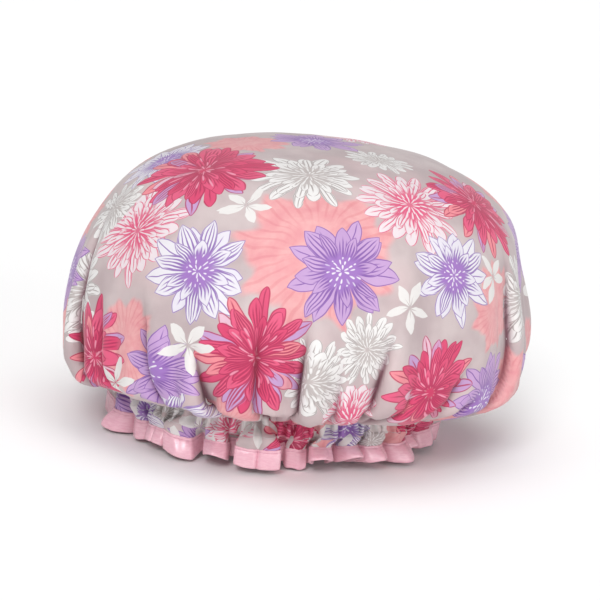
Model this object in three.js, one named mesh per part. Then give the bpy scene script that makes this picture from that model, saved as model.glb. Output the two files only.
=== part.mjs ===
// Bouffant shower cap: two cloth skins gathered on an elastic, with a ruffle
// whose edge is bound in satin. Millimetres, +Z up. The front (forehead) faces
// -Y. The cap stands on the flat edge of its binding at z = 0, with the origin
// under the middle of its bounding box.
import * as THREE from 'three';

// ---- driving dimensions ----
const HEM_HALF_LENGTH = 97;    // elastic line, half axis front to back
const HEM_HALF_WIDTH = 85;     // elastic line, half axis side to side
const BODY_RADIUS = 139;       // mean radius at the widest level
const BODY_BACK = 8.5;         // extra fullness at the back, less at the front
const BODY_LONG = 5;           // longer front to back than side to side
const WIDE_LEVEL = 59;         // height of the widest level
const WIDE_LEVEL_BACK = 10;    // higher at the back, lower at the front
const APEX_HEIGHT = 174;
const APEX_BACK = 9;           // crown sits a little behind the middle
const CROWN_R_POWER = 2.95;    // superellipse powers of the crown
const CROWN_Z_POWER = 2.67;
const CHANNEL_TOP = 29.5;      // elastic channel
const CHANNEL_BOTTOM = 19.5;
const RUFFLE_FLARE = 8;
const RUFFLE_LOBES = 22;
const RUFFLE_DEPTH = 8;        // wave amplitude at the edge
const RUFFLE_BOX = 2;          // makes the lobes boxy
const BODY_FOLDS = 11;         // soft folds that rise from the gathers
const BODY_FOLD_DEPTH = 3.2;
const SKIN = 0.8;              // outer shell
const LINING = 0.6;            // inner lining
const GAP = 0.3;
const CHANNEL_DEPTH = 3.0;     // between shell and lining where the elastic runs
const ELASTIC_WIDTH = 6;
const ELASTIC_THICK = 0.7;
const ELASTIC_LAP = 14;        // length of the lapped ends
const BINDING_WIDTH = 11.5;
const BINDING_THICK = 0.7;
const THREAD = 0.5;

const TAU = Math.PI * 2;
const HEM_SEGS = 132, BODY_SEGS = 66, CROWN_SEGS = 33;

// ---- the cap's outer surface ----
function ringRadius(phi) {
  return 1 / Math.hypot(Math.cos(phi) / HEM_HALF_WIDTH, Math.sin(phi) / HEM_HALF_LENGTH);
}
function wideRadius(phi) {
  return BODY_RADIUS + BODY_BACK * Math.sin(phi) - BODY_LONG * Math.cos(2 * phi);
}
function wideLevel(phi) {
  return WIDE_LEVEL + WIDE_LEVEL_BACK * Math.sin(phi);
}
function crown(phi, u) {
  const R = wideRadius(phi), Z = wideLevel(phi);
  return [R * Math.pow(Math.sin(u), 2 / CROWN_R_POWER),
    Z + (APEX_HEIGHT - Z) * Math.pow(Math.max(Math.cos(u), 0), 2 / CROWN_Z_POWER),
    Math.cos(u) ** 2];
}
function tuck(phi, t) {
  const R = wideRadius(phi), Z = wideLevel(phi), E = ringRadius(phi);
  const k1 = 0.62 * (Z - CHANNEL_TOP), k2 = 0.5 * (R - E), al = 20 * Math.PI / 180;
  const a = (1 - t) ** 3, b = 3 * (1 - t) ** 2 * t, c = 3 * (1 - t) * t * t, d = t ** 3;
  return [a * R + b * R + c * (E + k2 * Math.cos(al)) + d * E,
    a * Z + b * (Z - k1) + c * (CHANNEL_TOP + k2 * Math.sin(al)) + d * CHANNEL_TOP, 0];
}

// Even steps along the crown: s in 0..1 is the share of its arc length.
const arcTables = new Map();
function crownAt(phi, s) {
  const key = phi.toFixed(6);
  if (!arcTables.has(key)) {
    const n = 240, len = [0];
    let last = crown(phi, 0);
    for (let i = 1; i <= n; i++) {
      const p = crown(phi, (i / n) * Math.PI / 2);
      len.push(len[i - 1] + Math.hypot(p[0] - last[0], p[1] - last[1]));
      last = p;
    }
    arcTables.set(key, len);
  }
  const len = arcTables.get(key), n = len.length - 1, want = s * len[n];
  let i = 1;
  while (i < n && len[i] < want) i++;
  const f = (want - len[i - 1]) / (len[i] - len[i - 1]);
  return crown(phi, ((i - 1 + f) / n) * Math.PI / 2);
}

// Folds that rise from the gathers and fade out on the way up.
function foldHeight(phi, s) {
  if (s >= 2 || s < 0.45) return 0;
  const up = s < 1 ? Math.pow((s - 0.45) / 0.55, 2) : 1;
  const down = s > 1 ? 1 - Math.pow(s - 1, 3) : 1;
  const vary = 1 + 0.3 * Math.sin(3 * phi + 0.6);
  return BODY_FOLD_DEPTH * up * down * vary * Math.sin(BODY_FOLDS * phi + 0.35 * Math.sin(4 * phi + 1));
}

// s: 0..1 crown, 1..2 tuck under to the elastic, 2..3 channel, 3..4 ruffle.
function base(phi, s) {
  const c = Math.cos(phi), n = Math.sin(phi);
  let r, z, w = 0;
  if (s <= 1) [r, z, w] = crownAt(phi, Math.max(s, 1e-4));
  else if (s <= 2) [r, z, w] = tuck(phi, s - 1);
  else if (s <= 3) { r = ringRadius(phi); z = CHANNEL_TOP + (CHANNEL_BOTTOM - CHANNEL_TOP) * (s - 2); }
  else { r = ringRadius(phi) + RUFFLE_FLARE * (s - 3); z = CHANNEL_BOTTOM * (4 - s); }
  r += foldHeight(phi, s);
  return new THREE.Vector3(r * c, r * n + APEX_BACK * w, z);
}

function ruffleCurve(phi, s) {
  // plan position of the ruffle at this level, waves included
  const p = base(phi, s);
  if (s <= 3) return p;
  const E = ringRadius(phi);
  const e = 1e-4;
  const q = base(phi + e, s);
  const tx = (q.x - p.x), ty = (q.y - p.y), l = Math.hypot(tx, ty);
  const ux = tx / l, uy = ty / l;              // along the hem
  const k = Math.pow(s - 3, 0.85);
  const lobe = RUFFLE_LOBES * phi + 0.3 * Math.sin(5 * phi + 0.4);
  const deep = RUFFLE_DEPTH * k * (1 + 0.14 * Math.sin(3 * phi + 1.1));
  const out = deep * Math.sin(lobe);
  const along = -RUFFLE_BOX * k * Math.sin(2 * lobe) * (E / 91);
  p.x += uy * out + ux * along;
  p.y += -ux * out + uy * along;
  return p;
}

function surface(phi, s) {
  return s <= 3 ? base(phi, s) : ruffleCurve(phi, s);
}

// Outward normal: in plan for the channel and the ruffle, so their levels stay level.
function normal(phi, s) {
  if (s <= 1e-4) return new THREE.Vector3(0, 0, 1);
  const e = 1e-4;
  const a = surface(phi - e, s), b = surface(phi + e, s);
  if (s > 2) return new THREE.Vector3(b.y - a.y, a.x - b.x, 0).normalize();
  const h = 1e-3;
  const c = surface(phi, Math.max(s - h, 0)), d = surface(phi, s + h);
  return b.sub(a).cross(c.sub(d)).normalize();
}

function at(phi, s, depth) {
  return surface(phi, s).addScaledVector(normal(phi, s), depth);
}

function level(z) { return 4 - z / CHANNEL_BOTTOM; }   // s for a height on the ruffle

// ---- mesh helpers ----
class Shape {
  constructor() { this.v = []; this.t = []; }
  add(p) { this.v.push(p.x, p.y, p.z); return this.v.length / 3 - 1; }
  tri(a, b, c) { this.t.push(a, b, c); }
  quad(a, b, c, d) { this.tri(a, b, c); this.tri(a, c, d); }
  mesh(name, material) {
    const g = new THREE.BufferGeometry();
    g.setAttribute('position', new THREE.Float32BufferAttribute(this.v, 3));
    g.setIndex(this.t);
    g.computeVertexNormals();
    const m = new THREE.Mesh(g, material);
    m.name = name;
    return m;
  }
}

// Joins two rings of points, the upper nearer the crown. flip gives the inner face.
function strip(shape, upper, lower, flip) {
  const tri = flip ? (a, b, c) => shape.tri(a, c, b) : (a, b, c) => shape.tri(a, b, c);
  const nu = upper.length, nl = lower.length, m = nl / nu;
  for (let j = 0; j < nu; j++) {
    const a = upper[j], b = upper[(j + 1) % nu];
    const low = [];
    for (let k = 0; k <= m; k++) low.push(lower[(j * m + k) % nl]);
    if (m === 1) { tri(a, low[0], low[1]); tri(a, low[1], b); }
    else { tri(a, low[0], low[1]); tri(a, low[1], b); tri(b, low[1], low[2]); }
  }
}

// A closed cloth skin between two depths below the cap's outer surface.
const SKIN_ROWS = [
  [0.20, CROWN_SEGS], [0.37, CROWN_SEGS], [0.53, CROWN_SEGS],
  [0.67, BODY_SEGS], [0.79, BODY_SEGS], [0.90, BODY_SEGS], [1.0, BODY_SEGS],
  [1.22, BODY_SEGS], [1.45, BODY_SEGS], [1.68, BODY_SEGS], [1.88, BODY_SEGS],
  [2.0, HEM_SEGS], [2.09, HEM_SEGS], [3.0, HEM_SEGS],
  [level(BINDING_WIDTH), HEM_SEGS], [level(1.3), HEM_SEGS]];

function skin(outerDepth, innerDepth) {
  const shape = new Shape();
  const faces = [outerDepth, innerDepth].map((depth, side) => {
    const top = shape.add(at(0, 0, depth(0)));
    const rings = SKIN_ROWS.map(([s, n]) => {
      const ring = [];
      for (let j = 0; j < n; j++) ring.push(shape.add(at((j / n) * TAU, s, depth(s))));
      return ring;
    });
    const first = rings[0];
    for (let j = 0; j < first.length; j++) {
      const a = first[j], b = first[(j + 1) % first.length];
      if (side === 0) shape.tri(top, a, b); else shape.tri(top, b, a);
    }
    for (let k = 1; k < rings.length; k++) strip(shape, rings[k - 1], rings[k], side === 1);
    return rings[rings.length - 1];
  });
  const [o, i] = faces, n = o.length;
  for (let j = 0; j < n; j++) shape.quad(o[j], i[j], i[(j + 1) % n], o[(j + 1) % n]);
  return shape;
}

// A closed loop with the same section at every step. The section runs
// clockwise seen along the direction of increasing angle.
function loop(n, section) {
  const shape = new Shape();
  const rings = [];
  for (let j = 0; j < n; j++) rings.push(section((j / n) * TAU).map((p) => shape.add(p)));
  for (let j = 0; j < n; j++) {
    const a = rings[j], b = rings[(j + 1) % n], m = a.length;
    for (let k = 0; k < m; k++) {
      const k1 = (k + 1) % m;
      // the diagonal always falls from the upper point to the next lower one,
      // as in strip(), so that layers keep their gap on twisted quads
      if (shape.v[a[k] * 3 + 2] >= shape.v[a[k1] * 3 + 2]) shape.quad(a[k], a[k1], b[k1], b[k]);
      else shape.quad(a[k1], b[k1], b[k], a[k]);
    }
  }
  return shape;
}

// ---- depths of the layers ----
const ease = (x) => { const t = Math.min(Math.max(x, 0), 1); return t * t * (3 - 2 * t); };
const bodyLining = -(SKIN + GAP), channelLining = -(SKIN + CHANNEL_DEPTH);
function liningDepth(s) {
  if (s <= 2) return bodyLining + (channelLining - bodyLining) * ease((s - 1.4) / 0.6);
  if (s <= 3) return channelLining;
  return channelLining + (bodyLining - channelLining) * ease((s - 3) / (level(BINDING_WIDTH) - 3));
}

// ---- materials ----
const cloth = (color, roughness) => new THREE.MeshStandardMaterial({ color, roughness, metalness: 0 });
const printedCloth = cloth(0xe6c3cd, 0.5);
const film = cloth(0xeeeaea, 0.35);
const rubberKnit = cloth(0xf2f0ee, 0.85);
const satin = cloth(0xf0b7c9, 0.32);
const whiteThread = cloth(0xf4eef0, 0.6);
const pinkThread = cloth(0xeeb0c4, 0.55);

// ---- pieces ----
const cap = new THREE.Group();

cap.add(skin(() => 0, () => -SKIN).mesh('outer_shell', printedCloth));
cap.add(skin((s) => liningDepth(s), (s) => liningDepth(s) - LINING).mesh('inner_lining', film));

// Elastic: a flat strip that winds once round the channel, its ends lapped at the back.
{
  const shape = new Shape();
  const mid = (CHANNEL_TOP + CHANNEL_BOTTOM) / 2, zTop = mid + ELASTIC_WIDTH / 2, zLow = mid - ELASTIC_WIDTH / 2;
  const lap = ELASTIC_LAP / HEM_HALF_LENGTH, start = Math.PI / 2 - lap / 2, turn = TAU + lap;
  const steps = 70, outer = -(SKIN + GAP + 0.5), shift = ELASTIC_THICK + GAP + 0.05;
  const rings = [];
  for (let i = 0; i <= steps; i++) {
    const phi = start + turn * (i / steps), d = outer - shift * (i / steps);
    const o = at(phi, 2.5, d), p = at(phi, 2.5, d - ELASTIC_THICK);
    rings.push([[o, zTop], [p, zTop], [p, zLow], [o, zLow]]
      .map(([q, z]) => shape.add(new THREE.Vector3(q.x, q.y, z))));
  }
  for (let i = 0; i < steps; i++) {
    const a = rings[i], b = rings[i + 1];
    for (let k = 0; k < 4; k++) shape.quad(a[k], b[k], b[(k + 1) % 4], a[(k + 1) % 4]);
  }
  const s = rings[0], e = rings[steps];
  shape.quad(s[0], s[1], s[2], s[3]);
  shape.quad(e[3], e[2], e[1], e[0]);
  cap.add(shape.mesh('elastic_band', rubberKnit));

  // Bar tack that holds the lapped ends: a short flat bar of thread on the outer end.
  const tack = new Shape();
  const pad = [];
  for (const phi of [Math.PI / 2 - 0.02, Math.PI / 2 + 0.02]) {
    const dOut = -(SKIN + 0.15), dIn = -(SKIN + 0.15 + 0.3);
    const o = at(phi, 2.5, dOut), p = at(phi, 2.5, dIn);
    pad.push([[o, zTop - 0.5], [p, zTop - 0.5], [p, zLow + 0.5], [o, zLow + 0.5]]
      .map(([q, z]) => tack.add(new THREE.Vector3(q.x, q.y, z))));
  }
  const [a, b] = pad;
  for (let k = 0; k < 4; k++) tack.quad(a[k], b[k], b[(k + 1) % 4], a[(k + 1) % 4]);
  tack.quad(a[0], a[1], a[2], a[3]);
  tack.quad(b[3], b[2], b[1], b[0]);
  cap.add(tack.mesh('elastic_bar_tack', whiteThread));
}

// Binding: a folded satin strip that wraps both raw edges, flat underneath.
const outLeg = GAP, inLeg = -(SKIN + GAP + LINING + GAP);
cap.add(loop(HEM_SEGS, (phi) => {
  const put = (z, d) => { const p = at(phi, level(z), d); p.z = z; return p; };
  const t = BINDING_THICK, w = BINDING_WIDTH;
  return [put(w, outLeg), put(w, outLeg + t), put(0, outLeg + t), put(0, inLeg - t),
    put(w, inLeg - t), put(w, inLeg), put(t, inLeg), put(t, outLeg)];
}).mesh('hem_binding', satin));

// Stitch rows, each one closed line of thread laid just proud of the cloth.
function stitchRow(n, s, z, depth, size) {
  return loop(n, (phi) => {
    const put = (dz, d) => { const p = at(phi, s, d); p.z = z + dz; return p; };
    return [put(size / 2, depth), put(0, depth + size), put(-size / 2, depth)];
  });
}
cap.add(stitchRow(BODY_SEGS, 2.13, 28.2, 0.4, THREAD).mesh('casing_thread_upper', whiteThread));
cap.add(stitchRow(BODY_SEGS, 2.95, 20.4, 0.4, THREAD).mesh('casing_thread_lower', whiteThread));
// The binding's row follows the straight leg between its top and bottom edges.
cap.add(loop(HEM_SEGS, (phi) => {
  const put = (z, d) => {
    const top = at(phi, level(BINDING_WIDTH), d), low = at(phi, level(0), d);
    const p = top.lerp(low, (BINDING_WIDTH - z) / BINDING_WIDTH);
    p.z = z;
    return p;
  };
  const d = outLeg + BINDING_THICK + 0.55;
  return [put(10.25, d), put(10, d + THREAD), put(9.75, d)];
}).mesh('binding_thread', pinkThread));

// ---- put the origin under the middle of the box ----
cap.updateMatrixWorld(true);
const box = new THREE.Box3().setFromObject(cap);
cap.position.set(-(box.min.x + box.max.x) / 2, -(box.min.y + box.max.y) / 2, -box.min.z);
cap.updateMatrixWorld(true);

export default cap;
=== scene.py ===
import bpy, math
import numpy as np
from mathutils import Vector, Matrix


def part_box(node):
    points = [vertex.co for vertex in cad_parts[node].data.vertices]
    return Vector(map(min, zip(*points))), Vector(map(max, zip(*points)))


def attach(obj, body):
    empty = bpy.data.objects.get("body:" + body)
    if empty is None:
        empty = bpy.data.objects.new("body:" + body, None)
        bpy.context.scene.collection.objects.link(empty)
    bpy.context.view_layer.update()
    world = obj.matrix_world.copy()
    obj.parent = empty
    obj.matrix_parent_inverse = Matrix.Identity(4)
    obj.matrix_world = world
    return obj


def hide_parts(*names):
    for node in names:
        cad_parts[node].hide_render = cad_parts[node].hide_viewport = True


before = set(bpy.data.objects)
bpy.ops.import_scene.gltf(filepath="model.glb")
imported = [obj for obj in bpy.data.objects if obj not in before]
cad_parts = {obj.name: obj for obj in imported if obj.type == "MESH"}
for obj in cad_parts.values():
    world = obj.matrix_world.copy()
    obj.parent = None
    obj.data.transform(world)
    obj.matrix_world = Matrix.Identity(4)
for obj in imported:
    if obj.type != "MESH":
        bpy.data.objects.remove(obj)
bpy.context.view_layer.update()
MM = 0.001

# ---------------------------------------------------------------- frame shift
# The envelope below is written about the middle of the elastic's ellipse.
lo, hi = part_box("casing_thread_lower")
SHIFT = np.array([(lo[0] + hi[0]) / 2, (lo[1] + hi[1]) / 2, 0.0]) / MM

# ---------------------------------------------------------------- envelope, mm
HEM_HALF_LENGTH, HEM_HALF_WIDTH = 97.0, 85.0
R_MEAN, R_BACK, R_LONG = 139.0, 8.5, 5.0
Z_WIDE, Z_WIDE_BACK = 59.0, 10.0
APEX_Z, APEX_Y = 174.0, 9.0
P_R, P_Z = 2.95, 2.67
CH_TOP, CH_BOT = 29.5, 19.5           # gathered channel
ST_TOP, ST_BOT = 28.2, 20.4           # its two rows of stitches
FLARE = 8.0
NP = 896                              # finest division round the cap
PHI = np.arange(NP) * 2 * math.pi / NP


def ring_r(phi):
    return 1 / np.sqrt((np.cos(phi) / HEM_HALF_WIDTH) ** 2 + (np.sin(phi) / HEM_HALF_LENGTH) ** 2)


def wide_r(phi):
    return R_MEAN + R_BACK * np.sin(phi) - R_LONG * np.cos(2 * phi)


def wide_z(phi):
    return Z_WIDE + Z_WIDE_BACK * np.sin(phi)


def _profiles():
    """r, z, w tables against equal steps of arc length: crown (s 0..1) and tuck (s 1..2), for every PHI."""
    n = 400
    u = np.linspace(0, math.pi / 2, n)[:, None]
    Rm, Zm, Re = wide_r(PHI)[None], wide_z(PHI)[None], ring_r(PHI)[None]
    r = Rm * np.sin(u) ** (2 / P_R)
    z = Zm + (APEX_Z - Zm) * np.maximum(np.cos(u), 0) ** (2 / P_Z)
    w = np.cos(u) ** 2 + 0 * r
    t = np.linspace(0, 1, n)[:, None]
    k1, k2, al = 0.62 * (Zm - CH_TOP), 0.5 * (Rm - Re), math.radians(20)
    b0, b1, b2, b3 = (1 - t) ** 3, 3 * (1 - t) ** 2 * t, 3 * (1 - t) * t * t, t ** 3
    r2 = b0 * Rm + b1 * Rm + b2 * (Re + k2 * math.cos(al)) + b3 * Re
    z2 = b0 * Zm + b1 * (Zm - k1) + b2 * (CH_TOP + k2 * math.sin(al)) + b3 * CH_TOP
    out = []
    for a, b, c in ((r, z, w), (r2, z2, 0 * r2)):
        d = np.hypot(np.diff(a, axis=0), np.diff(b, axis=0))
        L = np.concatenate([np.zeros((1, NP)), np.cumsum(d, 0)])
        out.append((a, b, c, L))
    return out


CROWN, TUCK = _profiles()


def env_row(s):
    """Envelope positions (NP, 3) and arc length from the apex (NP,) at level s in 0..2."""
    a, b, c, L = CROWN if s <= 1 else TUCK
    f = s if s <= 1 else s - 1
    pos = np.zeros((NP, 3)); arc = np.zeros(NP)
    for j in range(NP):
        want = f * L[-1, j]
        r = np.interp(want, L[:, j], a[:, j]); z = np.interp(want, L[:, j], b[:, j])
        w = np.interp(want, L[:, j], c[:, j])
        pos[j] = r * math.cos(PHI[j]), r * math.sin(PHI[j]) + APEX_Y * w, z
        arc[j] = want + (CROWN[3][-1, j] if s > 1 else 0)
    return pos, arc


def smooth(a, b, x):
    t = np.clip((x - a) / (b - a), 0, 1)
    return t * t * (3 - 2 * t)


def wobble(x, seeds, amp=1.0):
    """A smooth periodic random function of the angle x."""
    r = np.random.RandomState(seeds[0]); y = 0 * x
    for k in seeds[1]:
        y = y + r.uniform(0.5, 1) * np.sin(k * x + r.uniform(0, 6.28))
    return amp * y / math.sqrt(len(seeds[1]))


def per(phi, table):
    return np.interp(np.mod(phi, 2 * math.pi), np.append(PHI, 2 * math.pi), np.append(table, table[0]))


def turn(a):
    return (a + math.pi) % (2 * math.pi) - math.pi


# ---------------------------------------------------------------- cloth rows of the body
def spaced(a, b, n):
    return list(np.linspace(a, b, n + 1)[1:])


ROWS = ([(s, 112) for s in spaced(0, 0.24, 8)] + [(s, 224) for s in spaced(0.24, 0.60, 18)]
        + [(s, 448) for s in spaced(0.60, 0.82, 14)] + [(s, 896) for s in spaced(0.82, 1.0, 12)]
        + [(s, 896) for s in spaced(1.0, 1.30, 9)] + [(s, 896) for s in spaced(1.30, 2.0, 22)])


def grow(s):
    """How much more cloth than envelope there is round the cap at level s."""
    return 1.0 + 0.075 * smooth(0.50, 1.0, s) + 1.04 * np.clip(s - 0.95, 0, 1.05) ** 1.45


def slack(s):
    return 1.004 + 0.030 * smooth(0.8, 1.3, s)


class Cloth:
    """Rows of vertices with their envelope position, normal, level, angle and flat coordinates."""

    def __init__(self):
        P, N, S, A, ARC, start = [np.array([[0, APEX_Y, APEX_Z]])], [np.array([[0, 0, 1.0]])], [[0.0]], [[0.0]], [[0.0]], []
        idx = 1
        for s, n in ROWS:
            step = NP // n
            p, arc = env_row(s)
            e = 0.004
            lo_, _ = env_row(max(s - e, 1e-4)); hi_, _ = env_row(min(s + e, 2.0))
            dphi = np.roll(p, -1, 0) - np.roll(p, 1, 0)
            nr = np.cross(dphi, lo_ - hi_); nr /= np.linalg.norm(nr, axis=1)[:, None]
            P.append(p[::step]); N.append(nr[::step]); S.append(np.full(n, s)); A.append(PHI[::step]); ARC.append(arc[::step])
            start.append(idx); idx += n
        self.P = np.concatenate(P); self.N = np.concatenate(N); self.S = np.concatenate(S)
        self.A = np.concatenate(A); self.ARC = np.concatenate(ARC); self.start = start
        self.count = idx
        self.faces = []
        n0 = ROWS[0][1]; s0 = start[0]
        for j in range(n0):
            self.faces.append((0, s0 + j, s0 + (j + 1) % n0))
        for k in range(1, len(ROWS)):
            a0, na, b0, nb = start[k - 1], ROWS[k - 1][1], start[k], ROWS[k][1]
            if na == nb:
                for j in range(na):
                    self.faces.append((a0 + j, b0 + j, b0 + (j + 1) % nb, a0 + (j + 1) % na))
            else:
                for j in range(na):
                    a, b = a0 + j, a0 + (j + 1) % na
                    c0, c1, c2 = b0 + 2 * j, b0 + 2 * j + 1, b0 + (2 * j + 2) % nb
                    self.faces += [(a, c0, c1), (a, c1, b), (b, c1, c2)]

    def groups(self):
        """Independent groups of constraints: (i, j, kind) with kind 0 stretch, 1 shear, 2 and 3 bend."""
        G = []
        st = self.start
        row = {0: [], 1: []}; bend = {0: [], 1: []}; wide = {0: [], 1: []}
        col = {0: [], 1: []}; d1 = {0: [], 1: []}; d2 = {0: [], 1: []}; ta, tb = [], []; cb = {0: [], 1: []}
        for k, (s, n) in enumerate(ROWS):
            j = np.arange(n); a = st[k] + j
            for par in (0, 1):
                m = j % 2 == par
                row[par].append(np.stack([a[m], st[k] + (j[m] + 1) % n], 1))
                m = (j // 2) % 2 == par
                bend[par].append(np.stack([a[m], st[k] + (j[m] + 2) % n], 1))
                if s < 1.95:
                    span = 8 if n == 896 and s < 1.45 else 4
                    m = (j // span) % 2 == par
                    wide[par].append(np.stack([a[m], st[k] + (j[m] + span) % n], 1))
            if k + 1 < len(ROWS):
                nb = ROWS[k + 1][1]; f = nb // n; b0 = st[k + 1]
                col[k % 2].append(np.stack([a, b0 + j * f], 1))
                if f == 1:
                    d1[k % 2].append(np.stack([a, b0 + (j + 1) % nb], 1))
                    d2[k % 2].append(np.stack([st[k] + (j + 1) % n, b0 + j], 1))
                else:
                    ta.append(np.stack([a, b0 + 2 * j + 1], 1))
                    tb.append(np.stack([st[k] + (j + 1) % n, b0 + 2 * j + 1], 1))
            if k + 2 < len(ROWS) and ROWS[k + 2][1] == n:
                cb[(k // 2) % 2].append(np.stack([a, st[k + 2] + j], 1))
        for par in (0, 1):
            G.append((np.concatenate(row[par]), 0)); G.append((np.concatenate(col[par]), 0))
            G.append((np.concatenate(d1[par]), 1)); G.append((np.concatenate(d2[par]), 1))
            G.append((np.concatenate(bend[par]), 2)); G.append((np.concatenate(cb[par]), 2))
            G.append((np.concatenate(wide[par]), 3))
        G.append((np.concatenate(ta), 1)); G.append((np.concatenate(tb), 1))
        return G


cloth = Cloth()


def rest_length(i, j):
    """Flat length between two cloth points, from the envelope and how much more cloth there is."""
    d = cloth.P[j] - cloth.P[i]
    mid = (cloth.P[i] + cloth.P[j]) / 2
    t = np.stack([-mid[:, 1], mid[:, 0], 0 * mid[:, 0]], 1); t /= np.linalg.norm(t, axis=1)[:, None] + 1e-9
    ct = (d * t).sum(1); cm2 = np.maximum((d * d).sum(1) - ct * ct, 0)
    s = (cloth.S[i] + cloth.S[j]) / 2
    return np.sqrt((grow(s) * ct) ** 2 + slack(s) ** 2 * cm2)


# ---------------------------------------------------------------- the gathers at the elastic
GATHERS = 88
GATHER_PHASE = wobble(PHI, (3, (2, 3, 5, 9, 14)), 1.6) + wobble(PHI, (4, (23, 31, 37)), 0.9)
GATHER_SIZE = np.clip(1 + 0.42 * wobble(PHI, (5, (7, 12, 19, 31)), 1.0), 0.25, 1.35)


def gather_offset(amp, phi):
    """Plan offset (out, along) of the fine gathers, mm."""
    th = GATHERS * phi + per(phi, GATHER_PHASE)
    k = per(phi, GATHER_SIZE)
    return amp * k * np.sin(th), -0.28 * amp * k * np.sin(2 * th)


def frame_at(phi):
    """Point, outward and along directions, and length per radian, of the elastic's ellipse."""
    d = 1e-4
    P = lambda f: np.stack([ring_r(f) * np.cos(f), ring_r(f) * np.sin(f), 0 * f], 1)
    t = (P(phi + d) - P(phi - d)) / (2 * d)
    l = np.linalg.norm(t, axis=1)
    along = t / l[:, None]
    out = np.stack([along[:, 1], -along[:, 0], 0 * phi], 1)
    return P(phi), out, along, l


def ring_points(z, amp, mean, phi):
    o, a = gather_offset(amp, phi)
    p0, out, along, _ = frame_at(phi)
    p = p0 + out * (mean + o)[:, None] + along * a[:, None]
    p[:, 2] = z
    return p


def channel_mean(z):
    """How far the shell stands out from the elastic's line, between the two rows of stitches."""
    return 0.9 + 1.0 * np.sin(math.pi * np.clip((ST_TOP - z) / (ST_TOP - ST_BOT), 0, 1))


# ---------------------------------------------------------------- the puffed body: cloth relaxation
# Each fold: level where it starts, its angle (degrees) at three levels, depth (mm) and half width (mm).
FOLDS = [
    (0.60, (0.69, -112.5), (0.82, -108.0), (1.5, -99.0), 5.0, 6.0),
    (0.74, (0.82, -97.5), (0.93, -91.0), (1.5, -88.0), 8.5, 5.5),
    (0.78, (0.82, -80.5), (0.92, -74.5), (1.5, -66.0), 8.0, 5.0),
    (0.88, (0.86, -70.0), (0.98, -65.0), (1.6, -60.0), 4.0, 5.0),
    (0.66, (0.79, -52.5), (0.91, -51.5), (1.5, -49.5), 5.5, 6.0),
    (0.80, (0.80, -38.5), (0.93, -39.5), (1.5, -38.5), 6.0, 5.0),
    (0.86, (0.90, -29.5), (1.00, -29.0), (1.5, -30.0), 3.5, 5.0),
    (0.84, (0.86, -16.5), (0.97, -19.5), (1.5, -22.5), 5.5, 5.5),
    (0.80, (0.88, 3.0), (1.01, -3.0), (1.5, -7.0), 8.5, 5.5),
    (0.90, (0.96, 12.0), (1.05, 10.0), (1.5, 6.0), 4.0, 5.0),
    (0.58, (0.63, 24.5), (0.79, 25.0), (1.5, 19.0), 5.0, 7.0),
    (0.80, (0.90, 38.0), (1.00, 37.0), (1.5, 34.0), 7.5, 6.0),
]


def more_folds():
    r = np.random.RandomState(41)
    a = 47.0
    out = []
    while a < 236:
        s0 = r.choice([0.62, 0.74, 0.80, 0.88]) + r.uniform(-0.04, 0.04)
        d = r.uniform(-6, 6)
        out.append((s0, (s0 + 0.06, a + 0.6 * d), (s0 + 0.2, a + 0.2 * d), (1.5, a - 0.6 * d), r.uniform(4, 9), r.uniform(4.5, 6.5)))
        a += r.uniform(11, 24)
    return out


def pleats(S, A):
    """Heights, mm, of the broad pleats."""
    r = np.linalg.norm(cloth.P[:, :2], axis=1)
    h = 0 * A
    for s0, p0, p1, p2, depth, width in FOLDS + more_folds():
        c = np.interp(S, [p0[0], p1[0], p2[0]], np.radians([p0[1], p1[1], p2[1]]))
        x = np.abs(turn(A - c)) * r
        w = width * (0.75 + 0.5 * smooth(1.3, s0, S))
        k = smooth(s0, s0 + 0.42, S) * (1 - smooth(1.40, 1.85, S))
        h += depth * k * (0.40 * np.exp(-((x - 2.6 * w) / (1.8 * w)) ** 2) - np.exp(-(x / w) ** 1.35))
    return h


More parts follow.
